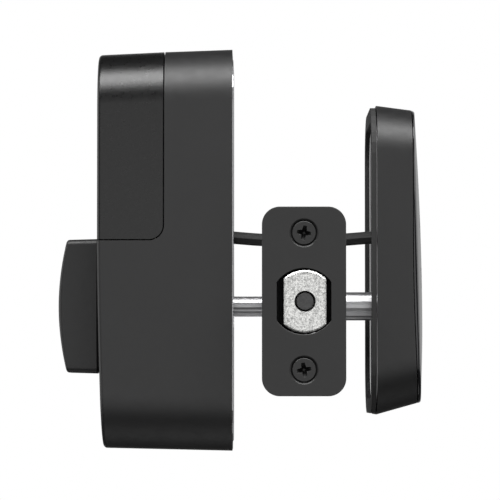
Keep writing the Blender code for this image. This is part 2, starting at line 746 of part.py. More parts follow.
def faceplate():
    back = EDGE + FACE_THICKNESS
    bevel = 0.25 * MM
    stations = [(EDGE, face_outline(bevel)), (EDGE + bevel, face_outline(0)), (back, face_outline(0))]
    made = bar_along_x("faceplate", stations, satin_black())
    hole = flat_circle(FACE_HOLE, FACE_HOLE_HALF)
    cut(made, bar_along_x("faceplate_bolt_hole", [(EDGE - 2 * MM, hole), (back + 2 * MM, hole)]))
    for side in (-1, 1):
        z = side * SCREW_SPACING / 2
        sink = [(SCREW_COUNTERSINK + 1 * MM, -1 * MM), (SCREW_COUNTERSINK, 0)]
        sink += [(2.5 * MM, 1.9 * MM), (2.5 * MM, 5 * MM)]
        cut(made, turned(f"faceplate_countersink_{side}", sink, (EDGE, 0, z), "X"))
    return made


def faceplate_screws():
    for name, side, spin in (("faceplate_screw_upper", 1, 10), ("faceplate_screw_lower", -1, -10)):
        place = Vector((EDGE + 0.1 * MM, 0, side * SCREW_SPACING / 2))
        profile = [
            (SCREW_HEAD - 0.25 * MM, 0),
            (SCREW_HEAD, 0.2 * MM),
            (2.1 * MM, 2 * MM),
            (1.9 * MM, 15 * MM),
            (0.4 * MM, 19 * MM),
        ]
        screw = turned(name, profile, place, "X", satin_black(), 24)
        angle = math.radians(spin)
        cut(screw, cross_prism(name + "_recess", 2.2 * MM, 0.45 * MM, place, "X", 1.5 * MM, angle))


def deadbolt():
    front = EDGE + 0.1 * MM
    bevel = 0.7 * MM
    inner = flat_circle(BOLT_RADIUS - bevel, BOLT_HALF - bevel, side=BOLT_SIDE)
    outer = flat_circle(BOLT_RADIUS, BOLT_HALF, side=BOLT_SIDE)
    stations = [(front, inner), (front + bevel, outer), (front + BOLT_LENGTH, outer)]
    made = bar_along_x("deadbolt", stations, cast_metal())
    pin_hole = [(4.1 * MM, -1 * MM), (3.3 * MM, 0.4 * MM), (3.3 * MM, 16 * MM)]
    cut(made, turned("bolt_pin_hole", pin_hole, (front, BOLT_SIDE, 0), "X"))
    rear = front + BOLT_LENGTH
    slot = ((rear - 8.5 * MM, -1.3 * MM, -12 * MM), (rear + 2 * MM, 1.3 * MM, 12 * MM))
    cut(made, block("bolt_rear_slot", *slot))
    rivet = (rear - 4 * MM, -10 * MM, 0)
    cut(made, rod("bolt_rivet_hole", 1.8 * MM, rivet, "Y", 20 * MM, None, 16))
    pin = [(PIN_RADIUS - 0.3 * MM, 0), (PIN_RADIUS, 0.3 * MM), (PIN_RADIUS, 15 * MM)]
    dark_steel = material("hardened_steel", (0.12, 0.12, 0.12), 0.35, 1.0)
    turned("bolt_pin", pin, (front + 0.4 * MM, BOLT_SIDE, 0), "X", dark_steel)
    rod("tail_rivet", 1.5 * MM, (rear - 4 * MM, -6.1 * MM, 0), "Y", 12.2 * MM, steel(), 16)
    return made


def bolt_tail():
    """A flat bar from the bolt to a fork that straddles the crank's pin."""
    head = EDGE + BOLT_LENGTH - 8 * MM
    pin_x = CRANK_RADIUS * math.sin(math.pi / 4)
    fork_start = pin_x - SLOT_HALF - 2.3 * MM
    fork_end = pin_x + SLOT_HALF + 2.3 * MM
    slot_top = TAIL_LOW + 0.8 * MM
    outline = [
        (head, 7.5 * MM),
        (head + 8.5 * MM, 7.5 * MM),
        (head + 12 * MM, TAIL_TOP),
        (fork_end, TAIL_TOP),
        (fork_end, PRONG_LOW),
        (pin_x + SLOT_HALF, PRONG_LOW),
        (pin_x + SLOT_HALF, slot_top),
        (pin_x - SLOT_HALF, slot_top),
        (pin_x - SLOT_HALF, PRONG_LOW),
        (fork_start, PRONG_LOW),
        (fork_start, TAIL_LOW),
        (head + 8 * MM, TAIL_LOW),
        (head, -7.5 * MM),
    ]
    made = plate("bolt_tail", outline, -1 * MM, 1 * MM, steel())
    rivet = (EDGE + 0.1 * MM + BOLT_LENGTH - 4 * MM, -5 * MM, 0)
    cut(made, rod("tail_rivet_hole", 1.8 * MM, rivet, "Y", 10 * MM, None, 16))
    return made


def bolt_cam():
    """A hub with two arms and the crank pin between them."""
    pin_x = CRANK_RADIUS * math.sin(math.pi / 4)
    made = rod("bolt_cam", HUB_RADIUS, (0, -7.2 * MM, 0), "Y", 14.4 * MM, cast_metal())
    across = Vector((1, 0, 1)).normalized()
    along = Vector((1, 0, -1)).normalized()
    end = along * CRANK_RADIUS
    outline = []
    for centre, radius, first in ((Vector((0, 0, 0)), 4.8 * MM, math.pi / 2), (end, 3.2 * MM, -math.pi / 2)):
        for step in range(7):
            angle = first + step * math.pi / 6
            point = centre + along * radius * math.cos(angle) + across * radius * math.sin(angle)
            outline.append((point.x, point.z))
    for side in (-1, 1):
        faces = sorted((side * 1.4 * MM, side * 3.4 * MM))
        join(made, plate(f"cam_arm_{side}", outline, *faces))
    join(made, rod("cam_pin", CRANK_PIN, (pin_x, -2.4 * MM, -pin_x), "Y", 4.8 * MM, None, 16))
    cut(made, block("cam_slot", (-1.3 * MM, -20 * MM, -3.5 * MM), (1.3 * MM, 20 * MM, 3.5 * MM)))
    return made


def latch_case():
    """Two side plates joined by a roof, open below, with holes for the hub and the through bolt."""
    side_outline = [
        (-25.7, 8.5),
        (10, 8.5),
        (14.2, 5),
        (14.2, -5),
        (17.5, -7),
        (17.5, -19),
        (10, -22.5),
        (-10, -22.5),
        (-15.5, -20.5),
        (-19, -12),
        (-25.7, -8.5),
    ]
    outline = [(x * MM, z * MM) for x, z in side_outline]
    made = plate("latch_case", outline, -6.5 * MM, 6.5 * MM, steel())
    cut(made, block("case_hollow", (-40 * MM, -5.5 * MM, -40 * MM), (40 * MM, 5.5 * MM, 7.5 * MM)))
    cut(made, rod("case_hub_hole", 6 * MM, (0, -10 * MM, 0), "Y", 20 * MM))
    cut(made, rod("case_post_hole", POST_RADIUS + 0.6 * MM, (-POST_OFFSET, -10 * MM, 0), "Y", 20 * MM))
    return made


def latch_sleeve():
    start = EDGE + 4.2 * MM
    length = 30.1 * MM
    sleeve = rod("latch_sleeve", SLEEVE_OUTER, (start, 0, 0), "X", length, satin_black(), 32)
    cut(sleeve, rod("sleeve_bore", SLEEVE_INNER, (start - SLEEVE_END, 0, 0), "X", length, None, 32))
    opening = flat_circle(10.2 * MM, 4 * MM, 8)
    end = start + length
    cut(sleeve, bar_along_x("sleeve_opening", [(end - 2 * SLEEVE_END, opening), (end + SLEEVE_END, opening)]))
    back = EDGE + FACE_THICKNESS + GAP
    front_outline = face_outline(0.4 * MM, 4)
    sections = [(back, front_outline), (back + 1.2 * MM, front_outline)]
    made = bar_along_x("latch_back_plate", sections, satin_black())
    hole = flat_circle(10.6 * MM, 8.9 * MM, 8)
    cut(made, bar_along_x("back_plate_bolt_hole", [(back - 2 * MM, hole), (back + 4 * MM, hole)]))
    for side in (-1, 1):
        place = (back - 2 * MM, 0, side * SCREW_SPACING / 2)
        cut(made, rod(f"back_plate_screw_hole_{side}", 2.5 * MM, place, "X", 6 * MM, None, 16))


def through_bolts_and_posts():
    for name, side in (("left", -1), ("right", 1)):
        x = side * POST_OFFSET
        post_start = OUTSIDE - 1.5 * MM
        post = rod(f"mounting_post_{name}", POST_RADIUS, (x, post_start, 0), "Y", 35 * MM, steel(), 24)
        bore = (x, post_start + 6 * MM, 0)
        cut(post, rod(f"post_bore_{name}", 2.8 * MM, bore, "Y", 40 * MM, None, 16))
        head = INSIDE + 1.9 * MM
        profile = [
            (2.5 * MM, -30 * MM),
            (2.5 * MM, 0),
            (4.5 * MM, 0),
            (4.5 * MM, 1.4 * MM),
            (3.4 * MM, 2.6 * MM),
        ]
        bolt = turned(f"through_bolt_{name}", profile, (x, head, 0), "Y", steel(), 20)
        mouth = (x, head + 2.6 * MM, 0)
        cut(bolt, cross_prism(f"through_bolt_recess_{name}", 2.4 * MM, 0.5 * MM, mouth, "-Y", 1.5 * MM))


# ---------------------------------------------------------------- exterior unit


def exterior_points(depth, inset=0.0, corner_steps=7, side_steps=8, tighter=0.0):
    half = EXTERIOR_WIDTH / 2 - depth * EXTERIOR_SIDE_DRAFT - inset
    top = EXTERIOR_TOP - depth * EXTERIOR_TOP_DRAFT - inset
    bottom = EXTERIOR_BOTTOM + depth * EXTERIOR_BOTTOM_DRAFT + inset
    radius = EXTERIOR_CORNER - depth * EXTERIOR_SIDE_DRAFT - inset - tighter
    return rounded_points(half, bottom, top, radius, corner_steps, side_steps)


def rim_depth(z):
    """Depth of the housing's front rim, which leans forward towards its lower end."""
    below = (RIM_START - z) / RIM_LENGTH
    return RIM_TOP + RIM_DROP * max(below, 0) ** 1.8


def glass_edge(z):
    """Depth at which the lens's side wall turns into its outer face."""
    return GLASS_EDGE - GLASS_LEAN * z


def glass_depth(x, z, half):
    """Depth of the lens's outer face: crowned from side to side and from end to end."""
    offset = z - GLASS_CREST_HEIGHT
    radius = GLASS_RADIUS_ABOVE if offset > 0 else GLASS_RADIUS_BELOW
    crest = GLASS_CREST - offset**2 / (2 * radius)
    edge = glass_edge(z)
    return edge + (crest - edge) * (1 - min(abs(x) / half, 1) ** 2)


def rim_ring(extra, inset):
    """The outline at the rim, each point at its own depth, moved forward by extra."""
    ring = []
    for i, (_, height) in enumerate(exterior_points(RIM_TOP, inset)):
        depth = rim_depth(height) + extra
        x, z = exterior_points(depth, inset)[i]
        ring.append((x, OUTSIDE - depth, z))
    return ring


def exterior_ring(depth, inset=0.0):
    return [(x, OUTSIDE - depth, z) for x, z in exterior_points(depth, inset)]


def exterior_housing():
    """A tapered tube, open at both ends: the glass closes its front and the gasket meets its back."""
    outer = [exterior_ring(GASKET + GAP), rim_ring(0, 0)]
    made = loft("exterior_housing", outer, soft_black())
    hollow = []
    for depth in (-2 * MM, 20 * MM):
        points = exterior_points(depth, EXTERIOR_WALL, 6, 1, 1 * MM)
        hollow.append([(x, OUTSIDE - depth, z) for x, z in points])
    cut(made, loft("exterior_hollow", hollow))
    for side in (-1, 1):
        place = (side * CONTACT_X, OUTSIDE - CONTACT_DEPTH, -45 * MM)
        cut(made, rod(f"exterior_contact_hole_{side}", 2.5 * MM, place, "Z", 20 * MM, None, 16))
    return made


def with_ends(ring):
    """A ring of the outline with points added along its flat top and bottom."""
    half = len(ring) // 2

    def between(start, end):
        shares = [step / GLASS_STRIPS for step in range(1, GLASS_STRIPS)]
        return [Vector(start).lerp(Vector(end), share) for share in shares]

    return ring[:half] + between(ring[half - 1], ring[half]) + ring[half:] + between(ring[-1], ring[0])


def touch_glass():
    """A lens on the rim: rings for its edge and fillet, then rows of strips for its crowned face."""
    rim = rim_ring(GAP, 0)
    half = max(x for x, _, _ in rim)
    wall = []
    for x, y, z in rim:
        depth = max(glass_edge(z) - GLASS_FILLET, OUTSIDE - y + GLASS_LIP)
        wall.append((x, OUTSIDE - depth, z))
    wall = with_ends(wall)
    sections = [with_ends(rim), wall]
    for step in (1, 2, 3):
        angle = step * math.pi / 6
        inset = GLASS_FILLET * (1 - math.cos(angle))
        outline = with_ends([(x, 0, z) for x, z in exterior_points(RIM_TOP + 2 * MM, inset)])
        ring = []
        for (_, y, _), (x, _, z) in zip(wall, outline):
            rise = glass_depth(x, z, half) + y - OUTSIDE
            ring.append((x, y - rise * math.sin(angle), z))
        sections.append(ring)
    mesh = bmesh.new()
    rings = [[mesh.verts.new(point) for point in section] for section in sections]
    for lower, upper in zip(rings, rings[1:]):
        bridge(mesh, lower, upper)
    mesh.faces.new(rings[0])
    front = rings[-1]
    count = len(rim) // 2
    right = front[:count]
    top = front[count : count + GLASS_STRIPS - 1]
    left = front[count + GLASS_STRIPS - 1 : 1 - GLASS_STRIPS]
    bottom = front[1 - GLASS_STRIPS :]
    rows = [[right[0], *reversed(bottom), left[-1]]]
    for start, end in zip(right[1:-1], reversed(left[1:-1])):
        row = [start]
        for step in range(1, GLASS_STRIPS):
            x = start.co.x * (1 - 2 * step / GLASS_STRIPS)
            row.append(mesh.verts.new((x, OUTSIDE - glass_depth(x, start.co.z, half), start.co.z)))
        rows.append([*row, end])
    rows.append([right[-1], *top, left[0]])
    for lower, upper in zip(rows, rows[1:]):
        for i in range(GLASS_STRIPS):
            mesh.faces.new((lower[i], lower[i + 1], upper[i + 1], upper[i]))
    return add_object("touch_glass", mesh, material("touch_glass", (0.01, 0.01, 0.01), 0.08))


def exterior_inside():
    guide = material("light_guide", (0.8, 0.8, 0.78), 0.4)
    board = material("circuit_board", (0.02, 0.13, 0.07), 0.5)
    socket = material("connector_plastic", (0.7, 0.68, 0.6), 0.5)
    depth = 12 * MM
    inset = EXTERIOR_WALL + 0.8 * MM
    slim = [exterior_points(depth, inset, 4), exterior_points(depth, inset + 0.5 * MM, 4)]
    plate("light_guide", slim[0], OUTSIDE - 10.6 * MM, OUTSIDE - 12 * MM, guide)
    plate("touch_board", slim[1], OUTSIDE - 8.7 * MM, OUTSIDE - 10.3 * MM, board)
    front = OUTSIDE - 8.4 * MM
    dark = inner_plastic()
    rod("piezo_buzzer", 8 * MM, (0, front, -14 * MM), "Y", 3 * MM, dark, 24)
    block("keypad_connector", (-6 * MM, front, 19 * MM), (6 * MM, front + 3 * MM, 25 * MM), socket)
    plate_outline = exterior_points(3.4 * MM, EXTERIOR_WALL + 0.5 * MM, 5)
    back = plate("exterior_back_plate", plate_outline, OUTSIDE - 1.8 * MM, OUTSIDE - 3.4 * MM, steel())
    cut(back, rod("back_harness_hole", 4 * MM, (0, OUTSIDE - 8 * MM, HARNESS_Z), "Y", 12 * MM, None, 16))
    contact = material("contact_metal", (0.75, 0.75, 0.74), 0.3, 1.0)
    for name, side in (("backup_contact_left", -1), ("backup_contact_right", 1)):
        tip = exterior_points(CONTACT_DEPTH)[0][1] + CONTACT_RECESS
        profile = [(1.6 * MM, 0), (2.1 * MM, 0.4 * MM), (2.1 * MM, 4 * MM), (1.2 * MM, 4 * MM)]
        profile.append((1.2 * MM, 6 * MM))
        turned(name, profile, (side * CONTACT_X, OUTSIDE - CONTACT_DEPTH, tip), "Z", contact, 16)


def weather_gasket():
    outer = exterior_points(0, 0.9 * MM)
    inner = exterior_points(0, 5.6 * MM)
    rubber = material("rubber", (0.02, 0.02, 0.02), 0.8)
    made = plate("weather_gasket", outer, OUTSIDE, OUTSIDE - GASKET, rubber)
    cut(made, plate("gasket_opening", inner, OUTSIDE + 3 * MM, OUTSIDE - 5 * MM))
    return made


def wiring_harness():
    """The sleeved lead between the two circuit boards, through the door's cross bore above the latch."""
    bend = HARNESS_BEND
    plug_depth = INSIDE + 13.4 * MM
    route = [
        Vector((0, OUTSIDE - 5.1 * MM, HARNESS_Z)),
        Vector((0, OUTSIDE, HARNESS_Z)),
        Vector((0, -8 * MM, HARNESS_Z - 1 * MM)),
        Vector((0, 8 * MM, HARNESS_Z - 1 * MM)),
        Vector((0, INSIDE, HARNESS_Z)),
    ]
    for step in range(5):
        angle = step * math.pi / 8
        depth = plug_depth - bend * (1 - math.sin(angle))
        route.append(Vector((0, depth, HARNESS_Z + bend * (1 - math.cos(angle)))))
    route.append(Vector((0, plug_depth, 32.7 * MM)))
    curve = bpy.data.curves.new("wiring_harness", "CURVE")
    curve.dimensions = "3D"
    curve.bevel_depth = HARNESS_RADIUS
    curve.bevel_resolution = 2
    curve.use_fill_caps = True
    points = smooth_route(route, 2)
    spline = curve.splines.new("POLY")
    spline.points.add(len(points) - 1)
    for target, point in zip(spline.points, points):
        target.co = (*point, 1)
    curve.materials.append(material("rubber", (0.02, 0.02, 0.02), 0.8))
    bpy.context.scene.collection.objects.link(bpy.data.objects.new("wiring_harness", curve))


def smooth_route(route, between):
    """Points on a Catmull-Rom curve through the route's points."""
    points = []
    for i in range(len(route) - 1):
        before = route[max(i - 1, 0)]
        start = route[i]
        end = route[i + 1]
        after = route[min(i + 2, len(route) - 1)]
        for step in range(between):
            t = step / between
            linear = (end - before) * t
            square = (before * 2 - start * 5 + end * 4 - after) * t**2
            cube = (start * 3 - before - end * 3 + after) * t**3
            points.append((start * 2 + linear + square + cube) / 2)
    points.append(route[-1])
    return points


def build():
    clear_scene()
    interior_housing()
    battery_cover()
    mounting_plate()
    chassis()
    battery_holder()
    batteries()
    contact_strips()
    control_board()
    housing_screws()
    gear_train()
    motor()
    gearbox_cover()
    thumbturn()
    thumbturn_shaft()
    faceplate()
    faceplate_screws()
    deadbolt()
    bolt_tail()
    bolt_cam()
    latch_case()
    latch_sleeve()
    through_bolts_and_posts()
    exterior_housing()
    touch_glass()
    exterior_inside()
    weather_gasket()
    wiring_harness()


build()
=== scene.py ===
"""Looks of the keypad smart lock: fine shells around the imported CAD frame, procedural materials,
soft studio light, and a camera in front of the latch and a little below it.

Everything is in metres in the CAD's frame: the spindle runs along Y through the origin, the keypad
faces -Y, the thumbturn faces +Y, the bolt leaves along -X, and +Z is up.
"""

import json
import math

import bmesh
import bpy
from mathutils import Matrix, Vector

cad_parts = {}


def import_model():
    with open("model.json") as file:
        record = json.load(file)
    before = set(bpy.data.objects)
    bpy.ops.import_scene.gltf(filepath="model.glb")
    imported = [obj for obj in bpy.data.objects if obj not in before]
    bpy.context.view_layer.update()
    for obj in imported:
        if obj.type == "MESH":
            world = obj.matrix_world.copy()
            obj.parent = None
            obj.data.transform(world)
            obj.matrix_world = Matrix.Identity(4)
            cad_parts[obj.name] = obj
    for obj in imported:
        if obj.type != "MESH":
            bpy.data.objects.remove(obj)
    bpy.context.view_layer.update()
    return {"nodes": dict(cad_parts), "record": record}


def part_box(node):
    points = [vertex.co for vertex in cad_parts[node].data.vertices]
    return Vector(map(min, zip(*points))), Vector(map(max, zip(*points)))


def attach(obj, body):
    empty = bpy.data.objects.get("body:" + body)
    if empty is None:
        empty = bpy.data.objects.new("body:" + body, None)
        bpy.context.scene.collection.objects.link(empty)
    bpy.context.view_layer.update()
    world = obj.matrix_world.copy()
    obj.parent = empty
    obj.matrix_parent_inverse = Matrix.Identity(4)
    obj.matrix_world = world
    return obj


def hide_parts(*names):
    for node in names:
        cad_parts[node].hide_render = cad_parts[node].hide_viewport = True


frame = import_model()

MM = 0.001

# Places read from the frame
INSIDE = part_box("mounting_plate")[0].y
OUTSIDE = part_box("weather_gasket")[1].y
INTERIOR_LOW, INTERIOR_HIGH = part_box("interior_housing")
TURN_LOW, TURN_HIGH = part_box("thumbturn")
EXTERIOR_LOW, EXTERIOR_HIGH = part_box("exterior_housing")
FACE_LOW, FACE_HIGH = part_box("faceplate")
BOLT_LOW, BOLT_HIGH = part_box("deadbolt")
PIN_LOW, PIN_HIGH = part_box("bolt_pin")

# Interior unit, as in the CAD
GAP = 0.3 * MM
WALL = 2.2 * MM
COVER_WALL = 1.5 * MM
GROOVE = 0.4 * MM
INTERIOR_CORNER = 17 * MM
INTERIOR_DEPTH = 42.1 * MM
INTERIOR_FILLET = 1.2 * MM
SIDE_DRAFT = math.tan(math.radians(0.6))
TOP_DRAFT = math.tan(math.radians(2.0))
COVER_DRAFT = math.tan(math.radians(2.66))
BOTTOM_DRAFT = math.tan(math.radians(1.25))
CHIN_DROP = 1.6 * MM
CHIN_START = 20 * MM
CHIN_LENGTH = 66 * MM
SPLIT_DEPTH = 21.5 * MM
SPLIT_HEIGHT = 19.7 * MM
SPLIT_RADIUS = 4.5 * MM
SCREW_X = 14.6 * MM
SCREW_Z = 68 * MM
SCREW_HOLE_RADIUS = 1.9 * MM
BUTTON_Z = 60 * MM
BUTTON_HOLE_RADIUS = 2.1 * MM
SHAFT_HOLE_RADIUS = 7.3 * MM
FRONT_HOLLOW_DEPTH = 39.2 * MM
FRONT_HOLLOW_TOP = 24 * MM
SHELF_HOLLOW_DEPTH = 19.3 * MM
SHELF_HOLLOW_BOTTOM = 23 * MM

# Thumbturn, with the square socket for its shaft
TURN_CORNER = 1.9 * MM
TURN_SHRINK = 0.6 * MM
TURN_CROWN = 2.4 * MM
TURN_EDGE = 1.3 * MM
TURN_FOOT = 0.8 * MM
SOCKET_HALF = 3.4 * MM
SOCKET_DEPTH = 6.6 * MM

# Exterior unit, as in the CAD
EXTERIOR_CORNER = 16 * MM
EXTERIOR_WALL = 2.5 * MM
EXTERIOR_TOP_DRAFT = math.tan(math.radians(7.5))
EXTERIOR_BOTTOM_DRAFT = math.tan(math.radians(15.7))
EXTERIOR_SIDE_DRAFT = math.tan(math.radians(4.0))
EXTERIOR_START = 1.8 * MM
RIM_TOP = 12.7 * MM
RIM_DROP = 1.4 * MM
RIM_START = 20 * MM
RIM_LENGTH = 46 * MM
GLASS_CREST = 16.9 * MM
GLASS_CREST_HEIGHT = -5.7 * MM
GLASS_RADIUS_ABOVE = 855 * MM
GLASS_RADIUS_BELOW = 300 * MM
GLASS_EDGE = 14.45 * MM
GLASS_LEAN = 0.024
GLASS_LIP = 0.1 * MM
GLASS_FILLET = 0.6 * MM
GLASS_STRIPS = 32
DIGIT_SIZE = 9.5 * MM
DIGIT_SPACING = 17 * MM
DIGIT_TOP = 42 * MM
DIGIT_LIFT = 0.02 * MM
CONTACT_X = 6.35 * MM
CONTACT_DEPTH = 6 * MM
CONTACT_HOLE_RADIUS = 2.5 * MM

# Cells
CELL_BUTTON = 1 * MM
CELL_BUTTON_RADIUS = 2.75 * MM
CELL_BAND = 36 * MM

# Latch, as in the CAD
FACE_CORNER = 5.4 * MM
FACE_SCREW_Z = 20.65 * MM
FACE_SCREW_HOLE_RADIUS = 2.5 * MM
COUNTERSINK_RADIUS = 4.3 * MM
COUNTERSINK_DEPTH = 1.9 * MM
BOLT_HOLE_RADIUS = 10 * MM
BOLT_HOLE_HALF = 8.2 * MM
TAIL_SLOT_HALF = 1.3 * MM
TAIL_SLOT_DEPTH = 8.5 * MM
RIVET_RADIUS = 1.8 * MM
RIVET_FROM_REAR = 4 * MM

# Latch, where the visual pieces are finer than the CAD
BOLT_SLOPE = 0.3 * MM
BOLT_MARGIN = 1.2 * MM
PIN_HOLE_RADIUS = 3.05 * MM
PIN_SHRINK = 0.35 * MM
SCREW_SHANK_RADIUS = 1.9 * MM
SCREW_ROOT_RADIUS = 1.45 * MM
SCREW_HEAD_LENGTH = 2.6 * MM
SCREW_TURNS = 11
RECESS_ARM = 2.35 * MM
RECESS_SLOT = 0.55 * MM
RECESS_DEPTH = 2.4 * MM
RECESS_SPIN = math.radians(10)

# Soft edges given to the CAD's own pieces, and how far in from an edge its wear reaches
CAD_EDGE = 0.12 * MM
WORN_EDGE = 0.5 * MM

# CAD pieces left with the edges they have: the harness and the coiled springs
PLAIN_EDGED = (
    "wiring_harness",
    "battery_spring_1",
    "battery_spring_2",
    "battery_spring_3",
    "battery_spring_4",
)

# Camera, a metre in front of the door's edge and a little below the bolt
CAMERA_PLACE = (-1.060, 0.01628, -0.0282)
CAMERA_PITCH = math.radians(2.5)
CAMERA_LENS = 239.2
SENSOR = 36.0

# Floor and background
FLOOR_HEIGHT = -1.6
FLOOR_RADIUS = 0.7
WORLD_LIGHT = 0.05


# ---------------------------------------------------------------- mesh helpers


def add_object(name, mesh):
    bmesh.ops.recalc_face_normals(mesh, faces=mesh.faces)
    data = bpy.data.meshes.new(name)
    mesh.to_mesh(data)
    mesh.free()
    obj = bpy.data.objects.new(name, data)
    bpy.context.scene.collection.objects.link(obj)
    return obj


def settle(obj):
    """Applies the object's modifiers to its mesh."""
    graph = bpy.context.evaluated_depsgraph_get()
    graph.update()
    made = bpy.data.meshes.new_from_object(obj.evaluated_get(graph))
    old = obj.data
    obj.modifiers.clear()
    obj.data = made
    bpy.data.meshes.remove(old)


def combine(obj, helper, operation="DIFFERENCE"):
    """Cuts, joins or intersects the object with a helper, which is then removed."""
    boolean = obj.modifiers.new("combine", "BOOLEAN")
    boolean.operation = operation
    boolean.solver = "EXACT"
    boolean.object = helper
    settle(obj)
    bpy.data.objects.remove(helper, do_unlink=True)
    return obj


def soften(obj, width, segments=2, angle=35, smooth_angle=30):
    """Rounds the edges sharper than angle, and shades the rest smooth."""
    weld = obj.modifiers.new("weld", "WELD")
    weld.merge_threshold = 0.00001
    if width:
        bevel = obj.modifiers.new("soften", "BEVEL")
        bevel.width = width
        bevel.segments = segments
        bevel.limit_method = "ANGLE"
        bevel.angle_limit = math.radians(angle)
        bevel.miter_outer = "MITER_ARC"
    settle(obj)
    obj.data.shade_smooth()
    obj.data.set_sharp_from_angle(angle=math.radians(smooth_angle))
    weighted = obj.modifiers.new("weighted", "WEIGHTED_NORMAL")
    weighted.keep_sharp = True


def dress(obj, body, slot, finish, *nodes):
    """Puts the finish on a piece, rides it on its body and lets it stand for its CAD nodes."""
    obj.data.materials.clear()
    obj.data.materials.append(finish)
    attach(obj, body)
    if nodes:
        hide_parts(*nodes)


def bridge(mesh, lower, upper):
    """Faces between two rings with the same number of vertices."""
    for i in range(len(lower)):
        j = (i + 1) % len(lower)
        mesh.faces.new((lower[i], lower[j], upper[j], upper[i]))


def loft(name, sections):
    """A closed body through rings that mirror about X = 0, capped by strips across X."""
    mesh = bmesh.new()
    rings = [[mesh.verts.new(point) for point in section] for section in sections]
    count = len(rings[0])
    for lower, upper in zip(rings, rings[1:]):
        bridge(mesh, lower, upper)
    for ring in (rings[0], rings[-1]):
        for i in range(count // 2 - 1):
            mesh.faces.new((ring[i], ring[i + 1], ring[count - 2 - i], ring[count - 1 - i]))
    return add_object(name, mesh)


def rounded_points(half, low, high, radius, corner_steps=20, side_steps=10):
    """(x, z) points of a rounded rectangle: its right half upwards, then its left half down."""
    right = []
    for step in range(corner_steps + 1):
        angle = -math.pi / 2 + step * math.pi / 2 / corner_steps
        x = half - radius + radius * math.cos(angle)
        right.append((x, low + radius + radius * math.sin(angle)))
    for step in range(1, side_steps):
        right.append((half, low + radius + (high - low - 2 * radius) * step / side_steps))
    for step in range(corner_steps + 1):
        angle = step * math.pi / 2 / corner_steps
        x = half - radius + radius * math.cos(angle)
        right.append((x, high - radius + radius * math.sin(angle)))
    return right + [(-x, z) for x, z in reversed(right)]


def prism(name, outline, start, end):
    """A closed body through one outline of points, moved from start to end."""
    mesh = bmesh.new()
    first = [mesh.verts.new(Vector(point) + Vector(start)) for point in outline]
    last = [mesh.verts.new(Vector(point) + Vector(end)) for point in outline]
    mesh.faces.new(first)
    mesh.faces.new(last)
    bridge(mesh, first, last)
    return add_object(name, mesh)


def box(name, low, high):
    outline = [(low[0], 0, low[2]), (high[0], 0, low[2]), (high[0], 0, high[2]), (low[0], 0, high[2])]
    return prism(name, outline, (0, low[1], 0), (0, high[1], 0))


def turn_to(axis):
    """The rotation that takes +Z to the named axis."""
    return {
        "X": Matrix.Rotation(math.pi / 2, 4, "Y"),
        "Y": Matrix.Rotation(-math.pi / 2, 4, "X"),
        "Z": Matrix.Identity(4),
    }[axis]


def turned(name, profile, place, axis, segments=64):
    """A body of revolution from (radius, height) points, capped flat at both ends."""
    mesh = bmesh.new()
    rings = []
    for radius, height in profile:
        ring = []
        for step in range(segments):
            angle = 2 * math.pi * step / segments
            x, y = radius * math.cos(angle), radius * math.sin(angle)
            ring.append(mesh.verts.new((x, y, height)))
        rings.append(ring)
    for lower, upper in zip(rings, rings[1:]):
        bridge(mesh, lower, upper)
    mesh.faces.new(rings[0])
    mesh.faces.new(rings[-1])
    bmesh.ops.transform(mesh, matrix=Matrix.Translation(place) @ turn_to(axis), verts=mesh.verts)
    return add_object(name, mesh)


def along_x(name, stations):
    """A body through (x, outline) stations, each outline a list of (y, z)."""
    mesh = bmesh.new()
    rings = [[mesh.verts.new((x, y, z)) for y, z in outline] for x, outline in stations]
    for lower, upper in zip(rings, rings[1:]):
        bridge(mesh, lower, upper)
    mesh.faces.new(rings[0])
    mesh.faces.new(reversed(rings[-1]))
    return add_object(name, mesh)


# ---------------------------------------------------------------- materials


